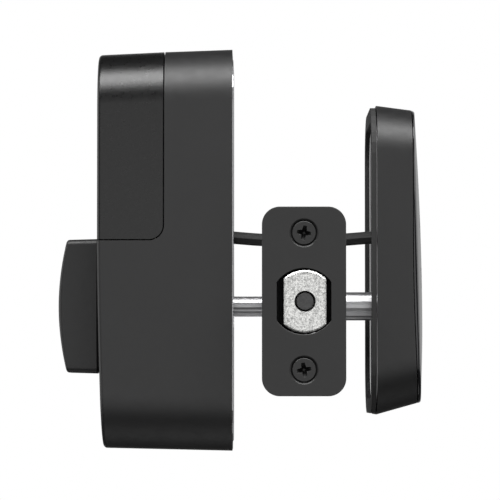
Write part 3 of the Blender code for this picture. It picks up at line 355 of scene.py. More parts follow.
class Surface:
    """A Principled material with helpers for noise, ramps and bump in the object's own metres."""

    def __init__(self, name, colour, roughness, metallic=0.0):
        self.material = bpy.data.materials.new(name)
        self.material.use_nodes = True
        self.material.diffuse_color = (*colour, 1)
        self.tree = self.material.node_tree
        self.shader = self.tree.nodes["Principled BSDF"]
        self.place = self.tree.nodes.new("ShaderNodeTexCoord").outputs["Object"]
        self.normal = None
        self.set("Base Color", (*colour, 1))
        self.set("Roughness", roughness)
        self.set("Metallic", metallic)

    def set(self, socket, value):
        self.shader.inputs[socket].default_value = value

    def link(self, source, target):
        self.tree.links.new(source, target)

    def stretch(self, scale):
        mapping = self.tree.nodes.new("ShaderNodeMapping")
        mapping.inputs["Scale"].default_value = scale
        self.link(self.place, mapping.inputs["Vector"])
        return mapping.outputs["Vector"]

    def noise(self, size, detail=3.0, roughness=0.6, place=None):
        """Noise whose features measure about size metres."""
        noise = self.tree.nodes.new("ShaderNodeTexNoise")
        noise.inputs["Scale"].default_value = 1 / size
        noise.inputs["Detail"].default_value = detail
        noise.inputs["Roughness"].default_value = roughness
        self.link(place or self.place, noise.inputs["Vector"])
        return noise.outputs["Fac"]

    def cells(self, size):
        """Distance from the nearest of the points scattered about size metres apart."""
        cells = self.tree.nodes.new("ShaderNodeTexVoronoi")
        cells.inputs["Scale"].default_value = 1 / size
        self.link(self.place, cells.inputs["Vector"])
        return cells.outputs["Distance"]

    def ranged(self, value, low, high, start=0.3, end=0.7):
        node = self.tree.nodes.new("ShaderNodeMapRange")
        node.inputs["From Min"].default_value = start
        node.inputs["From Max"].default_value = end
        node.inputs["To Min"].default_value = low
        node.inputs["To Max"].default_value = high
        self.link(value, node.inputs["Value"])
        return node.outputs["Result"]

    def blend(self, value, first, second):
        """A colour between two, by a value from 0 to 1."""
        node = self.tree.nodes.new("ShaderNodeMix")
        node.data_type = "RGBA"
        for socket, colour in (("A", first), ("B", second)):
            target = [s for s in node.inputs if s.name == socket and s.type == "RGBA"][0]
            if isinstance(colour, tuple):
                target.default_value = (*colour, 1)
            else:
                self.link(colour, target)
        self.link(value, node.inputs["Factor"])
        return [s for s in node.outputs if s.type == "RGBA"][0]

    def edges(self):
        """1 on convex edges, where handling polishes the surface, and 0 elsewhere."""
        near = self.tree.nodes.new("ShaderNodeAmbientOcclusion")
        near.inside = True
        near.only_local = True
        near.samples = 6
        near.inputs["Distance"].default_value = WORN_EDGE
        return self.ranged(near.outputs["AO"], 1, 0, 0.35, 0.75)

    def colour(self, value):
        self.link(value, self.shader.inputs["Base Color"])

    def roughness(self, value):
        self.link(value, self.shader.inputs["Roughness"])

    def bump(self, value, depth):
        """Adds relief of that depth in metres on top of any before it."""
        bump = self.tree.nodes.new("ShaderNodeBump")
        bump.inputs["Distance"].default_value = depth
        self.link(value, bump.inputs["Height"])
        if self.normal:
            self.link(self.normal, bump.inputs["Normal"])
        self.normal = bump.outputs["Normal"]
        self.link(self.normal, self.shader.inputs["Normal"])


def shades(colour, amount):
    """A darker and a lighter version of a colour."""
    return tuple(c * (1 - amount) for c in colour), tuple(c * (1 + amount) for c in colour)


def moulded(name, colour, roughness, grain, depth, variation=0.08):
    """Moulded plastic: a fine grain, faint cloudiness, and edges polished by handling."""
    made = Surface(name, colour, roughness)
    dark, light = shades(colour, variation)
    cloudy = made.blend(made.ranged(made.noise(18 * MM, 4), 0, 1), dark, light)
    made.colour(made.blend(made.edges(), cloudy, tuple(c * 1.6 for c in colour)))
    made.roughness(made.ranged(made.noise(2.5 * MM, 5), roughness - 0.04, roughness + 0.05))
    made.bump(made.noise(grain, 2), depth)
    return made.material


def plated(name, colour, roughness, brush=(1, 1, 12)):
    """Plated or bare metal with faint drawn lines, stains and brighter edges."""
    made = Surface(name, colour, roughness, 1.0)
    dark, light = shades(colour, 0.1)
    stained = made.blend(made.ranged(made.noise(6 * MM, 5), 0, 1), dark, light)
    made.colour(made.blend(made.edges(), stained, tuple(min(c * 1.35, 1) for c in colour)))
    lines = made.noise(1.2 * MM, 4, 0.7, made.stretch(brush))
    made.roughness(made.ranged(lines, roughness - 0.08, roughness + 0.12))
    made.bump(lines, 0.01 * MM)
    return made.material


def make_materials():
    black = (0.008, 0.008, 0.0082)
    return {
        "soft_black_plastic": moulded("soft_black", black, 0.46, 0.16 * MM, 0.006 * MM),
        "battery_cover_plastic": cover_plastic((0.002, 0.002, 0.00205)),
        "satin_black_metal": coated_metal(),
        "plain_steel": plated("zinc_steel", (0.5, 0.5, 0.51), 0.34),
        "cast_metal": cast_metal(),
        "inner_plastic": moulded("inner_plastic", (0.05, 0.05, 0.052), 0.55, 0.3 * MM, 0.01 * MM),
        "gear_plastic": moulded("acetal", (0.7, 0.68, 0.6), 0.42, 0.5 * MM, 0.006 * MM, 0.04),
        "battery_sleeve": battery_film(),
        "contact_metal": plated("nickel", (0.72, 0.71, 0.68), 0.24),
        "circuit_board": circuit_board(),
        "shield_metal": plated("tin_shield", (0.62, 0.62, 0.6), 0.3, (6, 1, 1)),
        "connector_plastic": moulded("nylon", (0.62, 0.6, 0.52), 0.5, 0.4 * MM, 0.006 * MM, 0.05),
        "button_plastic": moulded("button_grey", (0.32, 0.32, 0.32), 0.4, 0.3 * MM, 0.004 * MM),
        "brass": plated("turned_brass", (0.68, 0.47, 0.18), 0.26, (1, 1, 8)),
        "hardened_steel": pin_steel(),
        "touch_glass": dark_glass(),
        "light_guide": moulded("frosted_guide", (0.78, 0.78, 0.76), 0.35, 0.4 * MM, 0.004 * MM, 0.03),
        "rubber": rubber(),
    }


def cover_plastic(black):
    """The battery cover: glossier than the housing, with a coarser spark-eroded grain."""
    made = Surface("cover_black", black, 0.3)
    dark, light = shades(black, 0.12)
    cloudy = made.blend(made.ranged(made.noise(14 * MM, 4), 0, 1), dark, light)
    made.colour(made.blend(made.edges(), cloudy, tuple(c * 1.7 for c in black)))
    made.roughness(made.ranged(made.noise(1.5 * MM, 5), 0.26, 0.32))
    made.bump(made.noise(0.5 * MM, 4, 0.75), 0.034 * MM)
    return made.material


def coated_metal():
    """Satin black coating on steel, with edges worn a little brighter."""
    black = (0.008, 0.008, 0.008)
    made = Surface("black_coating", black, 0.42)
    dark, light = shades(black, 0.1)
    cloudy = made.blend(made.ranged(made.noise(8 * MM, 5), 0, 1), dark, light)
    made.colour(made.blend(made.edges(), cloudy, (0.03, 0.03, 0.03)))
    made.roughness(made.ranged(made.noise(1.0 * MM, 5), 0.36, 0.48))
    made.bump(made.noise(0.25 * MM, 3), 0.008 * MM)
    return made.material


def cast_metal():
    """Plated casting: bright, granular and finely scratched, as on the end of the bolt."""
    made = Surface("bright_casting", (0.74, 0.73, 0.71), 0.28, 1.0)
    grain = made.noise(0.55 * MM, 4, 0.7)
    bright = made.ranged(grain, 0, 1, 0.38, 0.6)
    made.colour(made.blend(bright, (0.36, 0.36, 0.355), (0.9, 0.9, 0.88)))
    made.roughness(made.ranged(made.noise(0.3 * MM, 4), 0.18, 0.4))
    made.bump(grain, 0.08 * MM)
    made.bump(made.cells(0.8 * MM), 0.03 * MM)
    return made.material


def pin_steel():
    """Hardened steel, blackened, with turning marks."""
    made = Surface("blackened_steel", (0.1, 0.1, 0.1), 0.4, 1.0)
    grain = made.noise(0.4 * MM, 4)
    made.colour(made.blend(made.ranged(grain, 0, 1), (0.05, 0.05, 0.05), (0.11, 0.11, 0.11)))
    made.roughness(made.ranged(grain, 0.35, 0.55))
    made.bump(grain, 0.03 * MM)
    return made.material


def film(name, dark, light, metallic):
    """Shrunk printed film with faint ripples and no text."""
    made = Surface(name, dark, 0.28, metallic)
    made.colour(made.blend(made.ranged(made.noise(4 * MM, 4), 0, 1), dark, light))
    made.roughness(made.ranged(made.noise(3 * MM, 4), 0.2, 0.34))
    made.bump(made.noise(1.5 * MM, 3), 0.01 * MM)
    return made.material


def battery_film():
    return film("cell_film", (0.036, 0.045, 0.055), (0.05, 0.06, 0.07), 0.3)


def cell_band():
    return film("cell_band", (0.5, 0.3, 0.1), (0.62, 0.38, 0.14), 0.7)


def circuit_board():
    """Green solder mask with faint copper tracks under it."""
    made = Surface("solder_mask", (0.01, 0.09, 0.045), 0.35)
    brick = made.tree.nodes.new("ShaderNodeTexBrick")
    turned_place = made.tree.nodes.new("ShaderNodeMapping")
    turned_place.inputs["Rotation"].default_value = (math.pi / 2, 0, 0)
    made.link(made.place, turned_place.inputs["Vector"])
    made.link(turned_place.outputs["Vector"], brick.inputs["Vector"])
    brick.inputs["Scale"].default_value = 90
    brick.inputs["Mortar Size"].default_value = 0.02
    brick.inputs["Color1"].default_value = (0.008, 0.07, 0.035, 1)
    brick.inputs["Color2"].default_value = (0.012, 0.09, 0.045, 1)
    brick.inputs["Mortar"].default_value = (0.03, 0.2, 0.1, 1)
    made.colour(brick.outputs["Color"])
    made.roughness(made.ranged(made.noise(2 * MM, 4), 0.28, 0.42))
    made.bump(brick.outputs["Fac"], 0.03 * MM)
    return made.material


def dark_glass():
    """The polished dark lens, with a hard coat and faint smears."""
    made = Surface("dark_lens", (0.006, 0.006, 0.007), 0.07)
    cloudy = made.ranged(made.noise(25 * MM, 3), 0, 1)
    made.colour(made.blend(cloudy, (0.005, 0.005, 0.006), (0.009, 0.009, 0.01)))
    made.roughness(made.ranged(made.noise(9 * MM, 5, 0.65), 0.05, 0.13))
    made.bump(made.noise(14 * MM, 2), 0.004 * MM)
    made.set("Coat Weight", 0.4)
    made.set("Coat Roughness", 0.04)
    return made.material


def digit_ink():
    """Smoked numerals that read faintly under the hard coat."""
    made = Surface("smoked_numeral", (0.06, 0.062, 0.065), 0.22)
    cloudy = made.ranged(made.noise(2 * MM, 3), 0, 1)
    made.colour(made.blend(cloudy, (0.045, 0.047, 0.05), (0.075, 0.077, 0.08)))
    made.roughness(made.ranged(made.noise(1 * MM, 4), 0.16, 0.3))
    made.bump(made.noise(0.3 * MM, 2), 0.002 * MM)
    return made.material


def rubber():
    made = Surface("black_rubber", (0.012, 0.012, 0.012), 0.7)
    grain = made.noise(0.5 * MM, 4)
    made.colour(made.blend(made.ranged(grain, 0, 1), (0.009, 0.009, 0.009), (0.018, 0.018, 0.018)))
    made.roughness(made.ranged(grain, 0.62, 0.8))
    made.bump(grain, 0.02 * MM)
    return made.material


# ---------------------------------------------------------------- interior unit


def chin_drop(z):
    """How far the front face falls back towards the door below the battery cover."""
    return CHIN_DROP * max((CHIN_START - z) / CHIN_LENGTH, 0) ** 1.5


def interior_ring(depth, inset=0.0, follow_chin=True):
    """The interior unit's outline at a depth from the door, pulled in by inset."""
    beyond_split = max(depth - SPLIT_DEPTH, 0)
    half = INTERIOR_HIGH.x + GAP * SIDE_DRAFT - depth * SIDE_DRAFT - inset
    top = INTERIOR_HIGH.z + GAP * TOP_DRAFT - min(depth, SPLIT_DEPTH) * TOP_DRAFT
    top -= beyond_split * COVER_DRAFT + inset
    bottom = INTERIOR_LOW.z - GAP * BOTTOM_DRAFT + depth * BOTTOM_DRAFT + inset
    share = depth / INTERIOR_DEPTH if follow_chin else 0
    points = rounded_points(half, bottom, top, INTERIOR_CORNER - inset)
    return [(x, INSIDE + depth - share * chin_drop(z), z) for x, z in points]


def interior_envelope(name):
    fillet = INTERIOR_FILLET
    start = INTERIOR_DEPTH - fillet
    sections = [interior_ring(GAP, 0, False), interior_ring(SPLIT_DEPTH), interior_ring(start)]
    steps = 8
    for step in range(1, steps):
        angle = step * math.pi / 2 / steps
        sections.append(interior_ring(start + fillet * math.sin(angle), fillet * (1 - math.cos(angle))))
    sections.append(interior_ring(INTERIOR_DEPTH, fillet))
    return loft(name, sections)


def cover_block(offset):
    """The prism in front of and above the split, with its lower rear corner rounded."""
    reach = 110 * MM
    depth = INSIDE + SPLIT_DEPTH + offset
    height = SPLIT_HEIGHT + offset
    radius = SPLIT_RADIUS - offset
    outline = [(0, depth, reach), (0, reach, reach), (0, reach, height)]
    steps = 20
    for step in range(steps + 1):
        angle = -math.pi / 2 - step * math.pi / 2 / steps
        y = depth + radius + radius * math.cos(angle)
        outline.append((0, y, height + radius + radius * math.sin(angle)))
    return prism("cover_block", outline, (-reach, 0, 0), (reach, 0, 0))


def cavity(inset, start, end, low, high):
    core = loft("cavity", [interior_ring(start, inset, False), interior_ring(end, inset, False)])
    limits = box("limits", (-60 * MM, INSIDE - 10 * MM, low), (60 * MM, INSIDE + 70 * MM, high))
    return combine(core, limits, "INTERSECT")


def interior_housing(finish):
    """The shell, hollowed behind the thumbturn and behind the cover, with its four holes."""
    housing = interior_envelope("interior_shell")
    combine(housing, cover_block(-GROOVE / 2))
    combine(housing, cavity(WALL, -2 * MM, FRONT_HOLLOW_DEPTH, -60 * MM, FRONT_HOLLOW_TOP))
    combine(housing, cavity(WALL, -2.5 * MM, SHELF_HOLLOW_DEPTH, SHELF_HOLLOW_BOTTOM, 90 * MM))
    hole = [(SHAFT_HOLE_RADIUS, 0), (SHAFT_HOLE_RADIUS, 20 * MM)]
    combine(housing, turned("hole", hole, (0, INSIDE + 30 * MM, 0), "Y"))
    small_holes = (
        (-SCREW_X, SCREW_Z, SCREW_HOLE_RADIUS),
        (SCREW_X, SCREW_Z, SCREW_HOLE_RADIUS),
        (0, BUTTON_Z, BUTTON_HOLE_RADIUS),
    )
    for x, z, radius in small_holes:
        profile = [(radius, 0), (radius, 10 * MM)]
        combine(housing, turned("hole", profile, (x, INSIDE + 15 * MM, z), "Y", 32))
    soften(housing, 0.22 * MM)
    dress(housing, "lock_body", "soft_black_plastic", finish, "interior_housing")


def battery_cover(finish):
    cover = interior_envelope("battery_cover_shell")
    combine(cover, cover_block(GROOVE / 2), "INTERSECT")
    combine(cover, cavity(COVER_WALL, -3 * MM, INTERIOR_DEPTH - COVER_WALL, -40 * MM, 90 * MM))
    soften(cover, 0.22 * MM)
    dress(cover, "cover", "battery_cover_plastic", finish, "battery_cover")


def thumbturn(finish):
    """A straight-sided bar with soft edges and a crowned outer face."""
    base = TURN_LOW.y
    span = TURN_HIGH.y - base
    thick = TURN_HIGH.x
    length = TURN_HIGH.z - TURN_LOW.z
    edge = TURN_EDGE
    steps = 8
    levels = [(0, TURN_FOOT), (TURN_FOOT, 0), (span - edge, 0)]
    for step in range(1, steps + 1):
        angle = step * math.pi / 2 / steps
        levels.append((span - edge + edge * math.sin(angle), edge * (1 - math.cos(angle))))
    sections = []
    for depth, inset in levels:
        half = length / 2 - TURN_SHRINK / 2 * depth / span - inset
        points = rounded_points(thick - inset, -half, half, TURN_CORNER - inset, 8, 24)
        sag = depth / span * TURN_CROWN
        sections.append([(x, base + depth - sag * (z / half) ** 2, z) for x, z in points])
    made = loft("thumbturn_bar", sections)
    socket_low = (-SOCKET_HALF, base - 2 * MM, -SOCKET_HALF)
    socket_high = (SOCKET_HALF, base + SOCKET_DEPTH, SOCKET_HALF)
    combine(made, box("socket", socket_low, socket_high))
    soften(made, 0.12 * MM, angle=50)
    dress(made, "spindle", "soft_black_plastic", finish, "thumbturn")


def batteries(materials):
    """Four AA cells, head to tail in turn: dark film, a copper band by the button, bare ends."""
    for number in range(1, 5):
        low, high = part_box(f"battery_{number}")
        radius = (high.x - low.x) / 2
        upright = number % 2 == 1
        shoulder = high.z - low.z - CELL_BUTTON
        profile = [
            (radius - 1.1 * MM, 0),
            (radius - 0.5 * MM, 0.12 * MM),
            (radius - 0.12 * MM, 0.35 * MM),
            (radius, 0.8 * MM),
            (radius, CELL_BAND),
            (radius, shoulder - 0.8 * MM),
            (radius - 0.12 * MM, shoulder - 0.35 * MM),
            (radius - 0.5 * MM, shoulder - 0.12 * MM),
            (radius - 1.1 * MM, shoulder),
            (CELL_BUTTON_RADIUS, shoulder),
            (CELL_BUTTON_RADIUS, shoulder + CELL_BUTTON - 0.3 * MM),
            (2.3 * MM, shoulder + CELL_BUTTON),
        ]
        sign = 1 if upright else -1
        start = low.z if upright else high.z
        place = ((low.x + high.x) / 2, (low.y + high.y) / 2, start)
        cell = turned(f"cell_{number}", [(r, sign * h) for r, h in profile], place, "Z")
        soften(cell, 0, smooth_angle=40)
        dress(cell, "lock_body", "battery_sleeve", materials["battery_sleeve"], f"battery_{number}")
        cell.data.materials.append(cell_band())
        cell.data.materials.append(materials["contact_metal"])
        for face in cell.data.polygons:
            height = sign * (face.center.z - start)
            if height < 0.3 * MM or height > shoulder - 0.3 * MM:
                face.material_index = 2
            elif height > CELL_BAND:
                face.material_index = 1


# ---------------------------------------------------------------- exterior unit


def exterior_points(depth, inset=0.0):
    """The exterior unit's outline at a depth from the door, pulled in by inset."""
    base_half = EXTERIOR_HIGH.x + EXTERIOR_START * EXTERIOR_SIDE_DRAFT
    half = base_half - depth * EXTERIOR_SIDE_DRAFT - inset
    base_top = EXTERIOR_HIGH.z + EXTERIOR_START * EXTERIOR_TOP_DRAFT
    top = base_top - depth * EXTERIOR_TOP_DRAFT - inset
    base_bottom = EXTERIOR_LOW.z - EXTERIOR_START * EXTERIOR_BOTTOM_DRAFT
    bottom = base_bottom + depth * EXTERIOR_BOTTOM_DRAFT + inset
    radius = EXTERIOR_CORNER - depth * EXTERIOR_SIDE_DRAFT - inset
    return rounded_points(half, bottom, top, max(radius, 0.4 * MM), side_steps=20)


def rim_depth(z):
    """Depth of the housing's front rim, which leans forward towards its lower end."""
    return RIM_TOP + RIM_DROP * max((RIM_START - z) / RIM_LENGTH, 0) ** 1.8


def rim_ring(extra, inset):
    """The outline at the rim, each point at its own depth, moved forward by extra."""
    ring = []
    for i, (_, z) in enumerate(exterior_points(RIM_TOP, inset)):
        depth = rim_depth(z) + extra
        x, lean_z = exterior_points(depth, inset)[i]
        ring.append((x, OUTSIDE - depth, lean_z))
    return ring


def exterior_ring(depth, inset=0.0):
    return [(x, OUTSIDE - depth, z) for x, z in exterior_points(depth, inset)]


def exterior_housing(finish):
    made = loft("exterior_shell", [exterior_ring(EXTERIOR_START), rim_ring(0, 0)])
    hollow = [exterior_ring(-2 * MM, EXTERIOR_WALL), exterior_ring(20 * MM, EXTERIOR_WALL)]
    combine(made, loft("hollow", hollow))
    for side in (-1, 1):
        place = (side * CONTACT_X, OUTSIDE - CONTACT_DEPTH, -45 * MM)
        hole = [(CONTACT_HOLE_RADIUS, 0), (CONTACT_HOLE_RADIUS, 20 * MM)]
        combine(made, turned("hole", hole, place, "Z", 40))
    soften(made, 0.5 * MM, 4)
    dress(made, "lock_body", "soft_black_plastic", finish, "exterior_housing")


def glass_edge(z):
    """Depth at which the lens's side wall turns into its outer face."""
    return GLASS_EDGE - GLASS_LEAN * z


def glass_depth(x, z, half):
    """Depth of the lens's outer face: crowned from side to side and from end to end."""
    offset = z - GLASS_CREST_HEIGHT
    radius = GLASS_RADIUS_ABOVE if offset > 0 else GLASS_RADIUS_BELOW
    crest = GLASS_CREST - offset**2 / (2 * radius)
    edge = glass_edge(z)
    return edge + (crest - edge) * (1 - min(abs(x) / half, 1) ** 2)


def with_ends(ring):
    """A ring of the outline with points added along its flat top and bottom."""
    half = len(ring) // 2

    def between(start, end):
        shares = [step / GLASS_STRIPS for step in range(1, GLASS_STRIPS)]
        return [Vector(start).lerp(Vector(end), share) for share in shares]

    return ring[:half] + between(ring[half - 1], ring[half]) + ring[half:] + between(ring[-1], ring[0])


def touch_glass(finish):
    """The lens on the rim: rings for its edge and fillet, then rows of strips for its crowned face."""
    rim = rim_ring(GAP, 0)
    half = max(x for x, _, _ in rim)
    wall = []
    for x, y, z in rim:
        depth = max(glass_edge(z) - GLASS_FILLET, OUTSIDE - y + GLASS_LIP)
        wall.append((x, OUTSIDE - depth, z))
    wall = with_ends(wall)
    sections = [with_ends(rim), wall]
    steps = 6
    for step in range(1, steps + 1):
        angle = step * math.pi / 2 / steps
        inset = GLASS_FILLET * (1 - math.cos(angle))
        outline = with_ends([(x, 0, z) for x, z in exterior_points(RIM_TOP + 2 * MM, inset)])
        ring = []
        for (_, y, _), (x, _, z) in zip(wall, outline):
            rise = glass_depth(x, z, half) + y - OUTSIDE
            ring.append((x, y - rise * math.sin(angle), z))
        sections.append(ring)
    mesh = bmesh.new()
    rings = [[mesh.verts.new(point) for point in section] for section in sections]
    for lower, upper in zip(rings, rings[1:]):
        bridge(mesh, lower, upper)
    mesh.faces.new(rings[0])
    front = rings[-1]
    count = len(rim) // 2
    right = front[:count]
    top = front[count : count + GLASS_STRIPS - 1]
    left = front[count + GLASS_STRIPS - 1 : 1 - GLASS_STRIPS]
    bottom = front[1 - GLASS_STRIPS :]
    rows = [[right[0], *reversed(bottom), left[-1]]]
    for start, end in zip(right[1:-1], reversed(left[1:-1])):
        row = [start]
        for step in range(1, GLASS_STRIPS):
            x = start.co.x * (1 - 2 * step / GLASS_STRIPS)
            row.append(mesh.verts.new((x, OUTSIDE - glass_depth(x, start.co.z, half), start.co.z)))
        rows.append([*row, end])
    rows.append([right[-1], *top, left[0]])
    for lower, upper in zip(rows, rows[1:]):
        for i in range(GLASS_STRIPS):
            mesh.faces.new((lower[i], lower[i + 1], upper[i + 1], upper[i]))
    made = add_object("keypad_lens", mesh)
    made.data.shade_smooth()
    made.data.set_sharp_from_angle(angle=math.radians(60))
    dress(made, "lock_body", "touch_glass", finish, "touch_glass")


def keypad_digits(finish):
    """Faint numerals on the lens, laid on its crowned face."""
    half = max(x for x, _, _ in rim_ring(GAP, 0))
    for place, digit in enumerate("1234567890"):
        column = 1 if digit == "0" else place % 3
        text = bpy.data.curves.new("digit", "FONT")
        text.body = digit
        text.size = DIGIT_SIZE
        text.align_x = "CENTER"
        text.align_y = "CENTER"
        text.resolution_u = 6
        curve = bpy.data.objects.new("digit", text)
        bpy.context.scene.collection.objects.link(curve)
        settled = bpy.data.meshes.new_from_object(curve)
        bpy.data.objects.remove(curve, do_unlink=True)
        mesh = bmesh.new()
        mesh.from_mesh(settled)
        bmesh.ops.triangulate(mesh, faces=mesh.faces)
        for vertex in mesh.verts:
            x = vertex.co.x + (column - 1) * DIGIT_SPACING
            z = vertex.co.y + DIGIT_TOP - place // 3 * DIGIT_SPACING
            vertex.co = (x, OUTSIDE - glass_depth(x, z, half) - DIGIT_LIFT, z)
        obj = add_object(f"digit_{digit}", mesh)
        dress(obj, "lock_body", "light_guide", finish)


# ---------------------------------------------------------------- latch


def flat_circle(radius, half, side=0.0):
    """(y, z) points of a circle about y = side, cut by two upright flats at half to each side."""
    steps = 32
    limit = math.acos(half / radius)
    points = []
    for start in (limit, limit + math.pi):
        for step in range(steps + 1):
            angle = start + (math.pi - 2 * limit) * step / steps
            points.append((side + radius * math.cos(angle), radius * math.sin(angle)))
    return points


def faceplate(finish):
    front = FACE_LOW.x
    back = FACE_HIGH.x
    outline = rounded_points(FACE_HIGH.y, -FACE_HIGH.z, FACE_HIGH.z, FACE_CORNER, 16, 1)
    made = along_x("latch_faceplate", [(front, outline), (back, outline)])
    hole = flat_circle(BOLT_HOLE_RADIUS, BOLT_HOLE_HALF)
    combine(made, along_x("hole", [(front - 2 * MM, hole), (back + 2 * MM, hole)]))
    for side in (-1, 1):
        place = (front, 0, side * FACE_SCREW_Z)
        sink = [
            (COUNTERSINK_RADIUS + 1 * MM, -1 * MM),
            (COUNTERSINK_RADIUS, 0),
            (FACE_SCREW_HOLE_RADIUS, COUNTERSINK_DEPTH),
            (FACE_SCREW_HOLE_RADIUS, 5 * MM),
        ]
        combine(made, turned("countersink", sink, place, "X"))
    soften(made, 0.2 * MM, 3)
    dress(made, "lock_body", "satin_black_metal", finish, "faceplate")


def cross_recess(place, spin):
    """A cross-shaped cutter that narrows with depth, with its four arms rounded in."""
    outline = [
        (RECESS_ARM, RECESS_SLOT),
        (RECESS_SLOT * 1.5, RECESS_SLOT * 1.5),
        (RECESS_SLOT, RECESS_ARM),
    ]
    outline += [(-x, z) for x, z in reversed(outline)]
    outline += [(-x, -z) for x, z in outline]
    mesh = bmesh.new()
    mouth = [mesh.verts.new((y, z, -RECESS_DEPTH * 0.1)) for y, z in outline]
    floor = [mesh.verts.new((y * 0.2, z * 0.2, RECESS_DEPTH)) for y, z in outline]
    mesh.faces.new(mouth)
    mesh.faces.new(floor)
    bridge(mesh, mouth, floor)
    turn = Matrix.Translation(place) @ turn_to("X") @ Matrix.Rotation(spin, 4, "Z")
    bmesh.ops.transform(mesh, matrix=turn, verts=mesh.verts)
    return add_object("recess", mesh)


def faceplate_screws(finish):
    spins = (("faceplate_screw_upper", RECESS_SPIN), ("faceplate_screw_lower", -RECESS_SPIN))
    for node, spin in spins:
        low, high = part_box(node)
        place = Vector((low.x, 0, (low.z + high.z) / 2))
        head = high.y
        profile = [
            (head - 0.55 * MM, 0),
            (head - 0.32 * MM, 0.1 * MM),
            (head - 0.25 * MM, 0.3 * MM),
            (2.1 * MM, 2 * MM),
            (SCREW_SHANK_RADIUS, SCREW_HEAD_LENGTH),
        ]
        pitch = (high.x - low.x - 5 * MM) / SCREW_TURNS
        for turn in range(SCREW_TURNS):
            start = SCREW_HEAD_LENGTH + turn * pitch
            profile.append((SCREW_ROOT_RADIUS, start + 0.15 * pitch))
            profile.append((SCREW_SHANK_RADIUS, start + 0.6 * pitch))
        profile.append((0.3 * MM, high.x - low.x))
        screw = turned(node.replace("faceplate", "edge"), profile, place, "X")
        combine(screw, cross_recess(place, spin))
        soften(screw, 0.05 * MM, 2, 40, 40)
        dress(screw, "lock_body", "satin_black_metal", finish, node)


def deadbolt(finish):
    front = BOLT_LOW.x
    rear = BOLT_HIGH.x
    radius = BOLT_HIGH.z
    side = (BOLT_LOW.y + BOLT_HIGH.y) / 2
    half = BOLT_HIGH.y - side
    stations = [
        (front, flat_circle(radius - BOLT_MARGIN, half - BOLT_MARGIN, side)),
        (front + BOLT_SLOPE, flat_circle(radius - BOLT_SLOPE / 2, half - BOLT_SLOPE / 2, side)),
        (front + 1.5 * BOLT_SLOPE, flat_circle(radius, half, side)),
        (rear, flat_circle(radius, half, side)),
    ]
    made = along_x("bolt_body", stations)
    pin_hole = [
        (PIN_HOLE_RADIUS + 0.25 * MM, -1 * MM),
        (PIN_HOLE_RADIUS + 0.1 * MM, 0.1 * MM),
        (PIN_HOLE_RADIUS, 0.3 * MM),
        (PIN_HOLE_RADIUS, 16 * MM),
    ]
    combine(made, turned("hole", pin_hole, (front, side, 0), "X"))
    slot_low = (rear - TAIL_SLOT_DEPTH, -TAIL_SLOT_HALF, -12 * MM)
    slot_high = (rear + 2 * MM, TAIL_SLOT_HALF, 12 * MM)
    combine(made, box("slot", slot_low, slot_high))
    rivet = [(RIVET_RADIUS, 0), (RIVET_RADIUS, 20 * MM)]
    combine(made, turned("hole", rivet, (rear - RIVET_FROM_REAR, -10 * MM, 0), "Y", 32))
    soften(made, 0.12 * MM, 2, 30)
    dress(made, "bolt", "cast_metal", finish, "deadbolt")


def bolt_pin(finish):
    length = PIN_HIGH.x - PIN_LOW.x
    radius = PIN_HIGH.z - PIN_SHRINK
    profile = [
        (radius - 0.35 * MM, 0),
        (radius - 0.1 * MM, 0.1 * MM),
        (radius, 0.4 * MM),
        (radius, length),
    ]
    side = (PIN_LOW.y + PIN_HIGH.y) / 2
    made = turned("bolt_roller_pin", profile, (PIN_LOW.x, side, 0), "X")
    soften(made, 0, smooth_angle=40)
    dress(made, "bolt_roller", "hardened_steel", finish, "bolt_pin")


# ---------------------------------------------------------------- pieces kept from the CAD


def finish_cad_nodes(materials):
    """Gives each CAD node that still shows its material, smooth round faces and softened edges."""
    slots = {row["node"]: row["material_slot"] for row in frame["record"]["subparts"]}
    for name, obj in frame["nodes"].items():
        if obj.hide_render:
            continue
        obj.data.materials.clear()
        obj.data.materials.append(materials[slots[name]])
        obj.data.shade_smooth()
        obj.data.set_sharp_from_angle(angle=math.radians(32))
        if name in PLAIN_EDGED:
            continue
        bevel = obj.modifiers.new("soften", "BEVEL")
        bevel.width = CAD_EDGE
        bevel.segments = 2
        bevel.limit_method = "ANGLE"
        bevel.angle_limit = math.radians(40)
        bevel.harden_normals = True


# ---------------------------------------------------------------- stage, light and camera


def stage_floor():
    """A plain pale floor well below the lock, which hangs where its door would hold it."""
    mesh = bmesh.new()
    bmesh.ops.create_circle(mesh, cap_ends=True, radius=FLOOR_RADIUS, segments=128)
    floor = add_object("floor", mesh)
    floor.location = (0, 0, FLOOR_HEIGHT)
    pale = Surface("pale_floor", (0.8, 0.8, 0.8), 0.6)
    cloudy = pale.ranged(pale.noise(0.3, 3), 0, 1)
    pale.colour(pale.blend(cloudy, (0.78, 0.78, 0.78), (0.82, 0.82, 0.82)))
    pale.bump(pale.noise(0.01, 3), 0.0002)
    floor.data.materials.append(pale.material)


def softbox(name, place, aim, size, radiance):
    """A rectangular area light of (width, height) metres, whose power follows from its radiance."""
    data = bpy.data.lights.new(name, "AREA")
    data.shape = "RECTANGLE"
    data.size, data.size_y = size
    data.energy = radiance * math.pi * size[0] * size[1]
    light = bpy.data.objects.new(name, data)
    bpy.context.scene.collection.objects.link(light)
    light.location = place
    light.rotation_euler = (Vector(aim) - Vector(place)).to_track_quat("-Z", "Y").to_euler()
    light.visible_camera = False


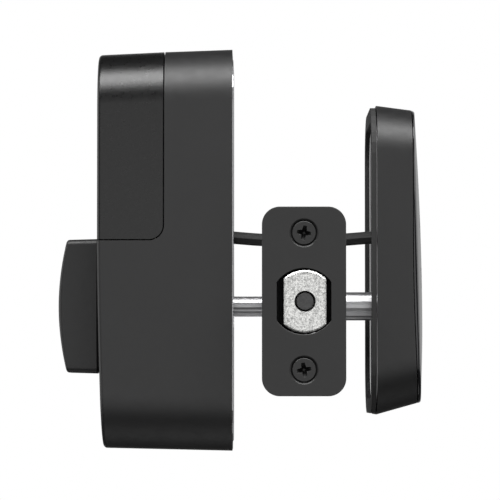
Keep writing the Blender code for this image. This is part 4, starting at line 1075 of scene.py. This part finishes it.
def lights():
    softbox("overhead_strip", (-0.51, 0, 0.87), (-0.51, 0, 0), (0.6, 1.6), 9.5)
    softbox("camera_fill", (-1.5, 0, -0.32), (0, 0, -0.32), (2.0, 1.45), 1.04)
    softbox("keypad_side", (-0.1, -1.2, 0.1), (-0.05, 0, 0), (0.8, 1.2), 1.8)
    softbox("thumbturn_side", (-0.1, 1.2, 0.1), (-0.05, 0, 0), (0.8, 1.2), 1.8)
    softbox("keypad_corner", (0.75, -1.3, 0.25), (0, 0, 0), (0.9, 1.4), 0.9)
    softbox("thumbturn_corner", (0.75, 1.3, 0.25), (0, 0, 0), (0.9, 1.4), 0.9)
    softbox("rear_panel", (1.4, -0.1, 0.1), (0, 0, 0), (1.8, 1.4), 0.33)


def world():
    """White behind the object and dim grey light on it."""
    made = bpy.data.worlds.new("studio")
    made.use_nodes = True
    tree = made.node_tree
    background = tree.nodes["Background"]
    output = tree.nodes["World Output"]
    background.inputs["Color"].default_value = (1, 1, 1, 1)
    background.inputs["Strength"].default_value = WORLD_LIGHT
    white = tree.nodes.new("ShaderNodeBackground")
    white.inputs["Color"].default_value = (1, 1, 1, 1)
    white.inputs["Strength"].default_value = 1.0
    path = tree.nodes.new("ShaderNodeLightPath")
    mix = tree.nodes.new("ShaderNodeMixShader")
    tree.links.new(path.outputs["Is Camera Ray"], mix.inputs["Fac"])
    tree.links.new(background.outputs["Background"], mix.inputs[1])
    tree.links.new(white.outputs["Background"], mix.inputs[2])
    tree.links.new(mix.outputs["Shader"], output.inputs["Surface"])
    bpy.context.scene.world = made


def camera():
    data = bpy.data.cameras.new("edge_view")
    data.lens = CAMERA_LENS
    data.sensor_width = SENSOR
    made = bpy.data.objects.new("edge_view", data)
    bpy.context.scene.collection.objects.link(made)
    made.location = CAMERA_PLACE
    made.rotation_euler = (math.pi / 2 + CAMERA_PITCH, 0, -math.pi / 2)
    data.clip_start = 0.05
    data.clip_end = 50
    bpy.context.scene.camera = made


def main():
    bpy.context.scene.view_settings.view_transform = "Standard"
    materials = make_materials()
    camera()
    interior_housing(materials["soft_black_plastic"])
    battery_cover(materials["battery_cover_plastic"])
    thumbturn(materials["soft_black_plastic"])
    batteries(materials)
    exterior_housing(materials["soft_black_plastic"])
    touch_glass(materials["touch_glass"])
    keypad_digits(digit_ink())
    faceplate(materials["satin_black_metal"])
    faceplate_screws(materials["satin_black_metal"])
    deadbolt(materials["cast_metal"])
    bolt_pin(materials["hardened_steel"])
    finish_cad_nodes(materials)
    stage_floor()
    lights()
    world()


main()
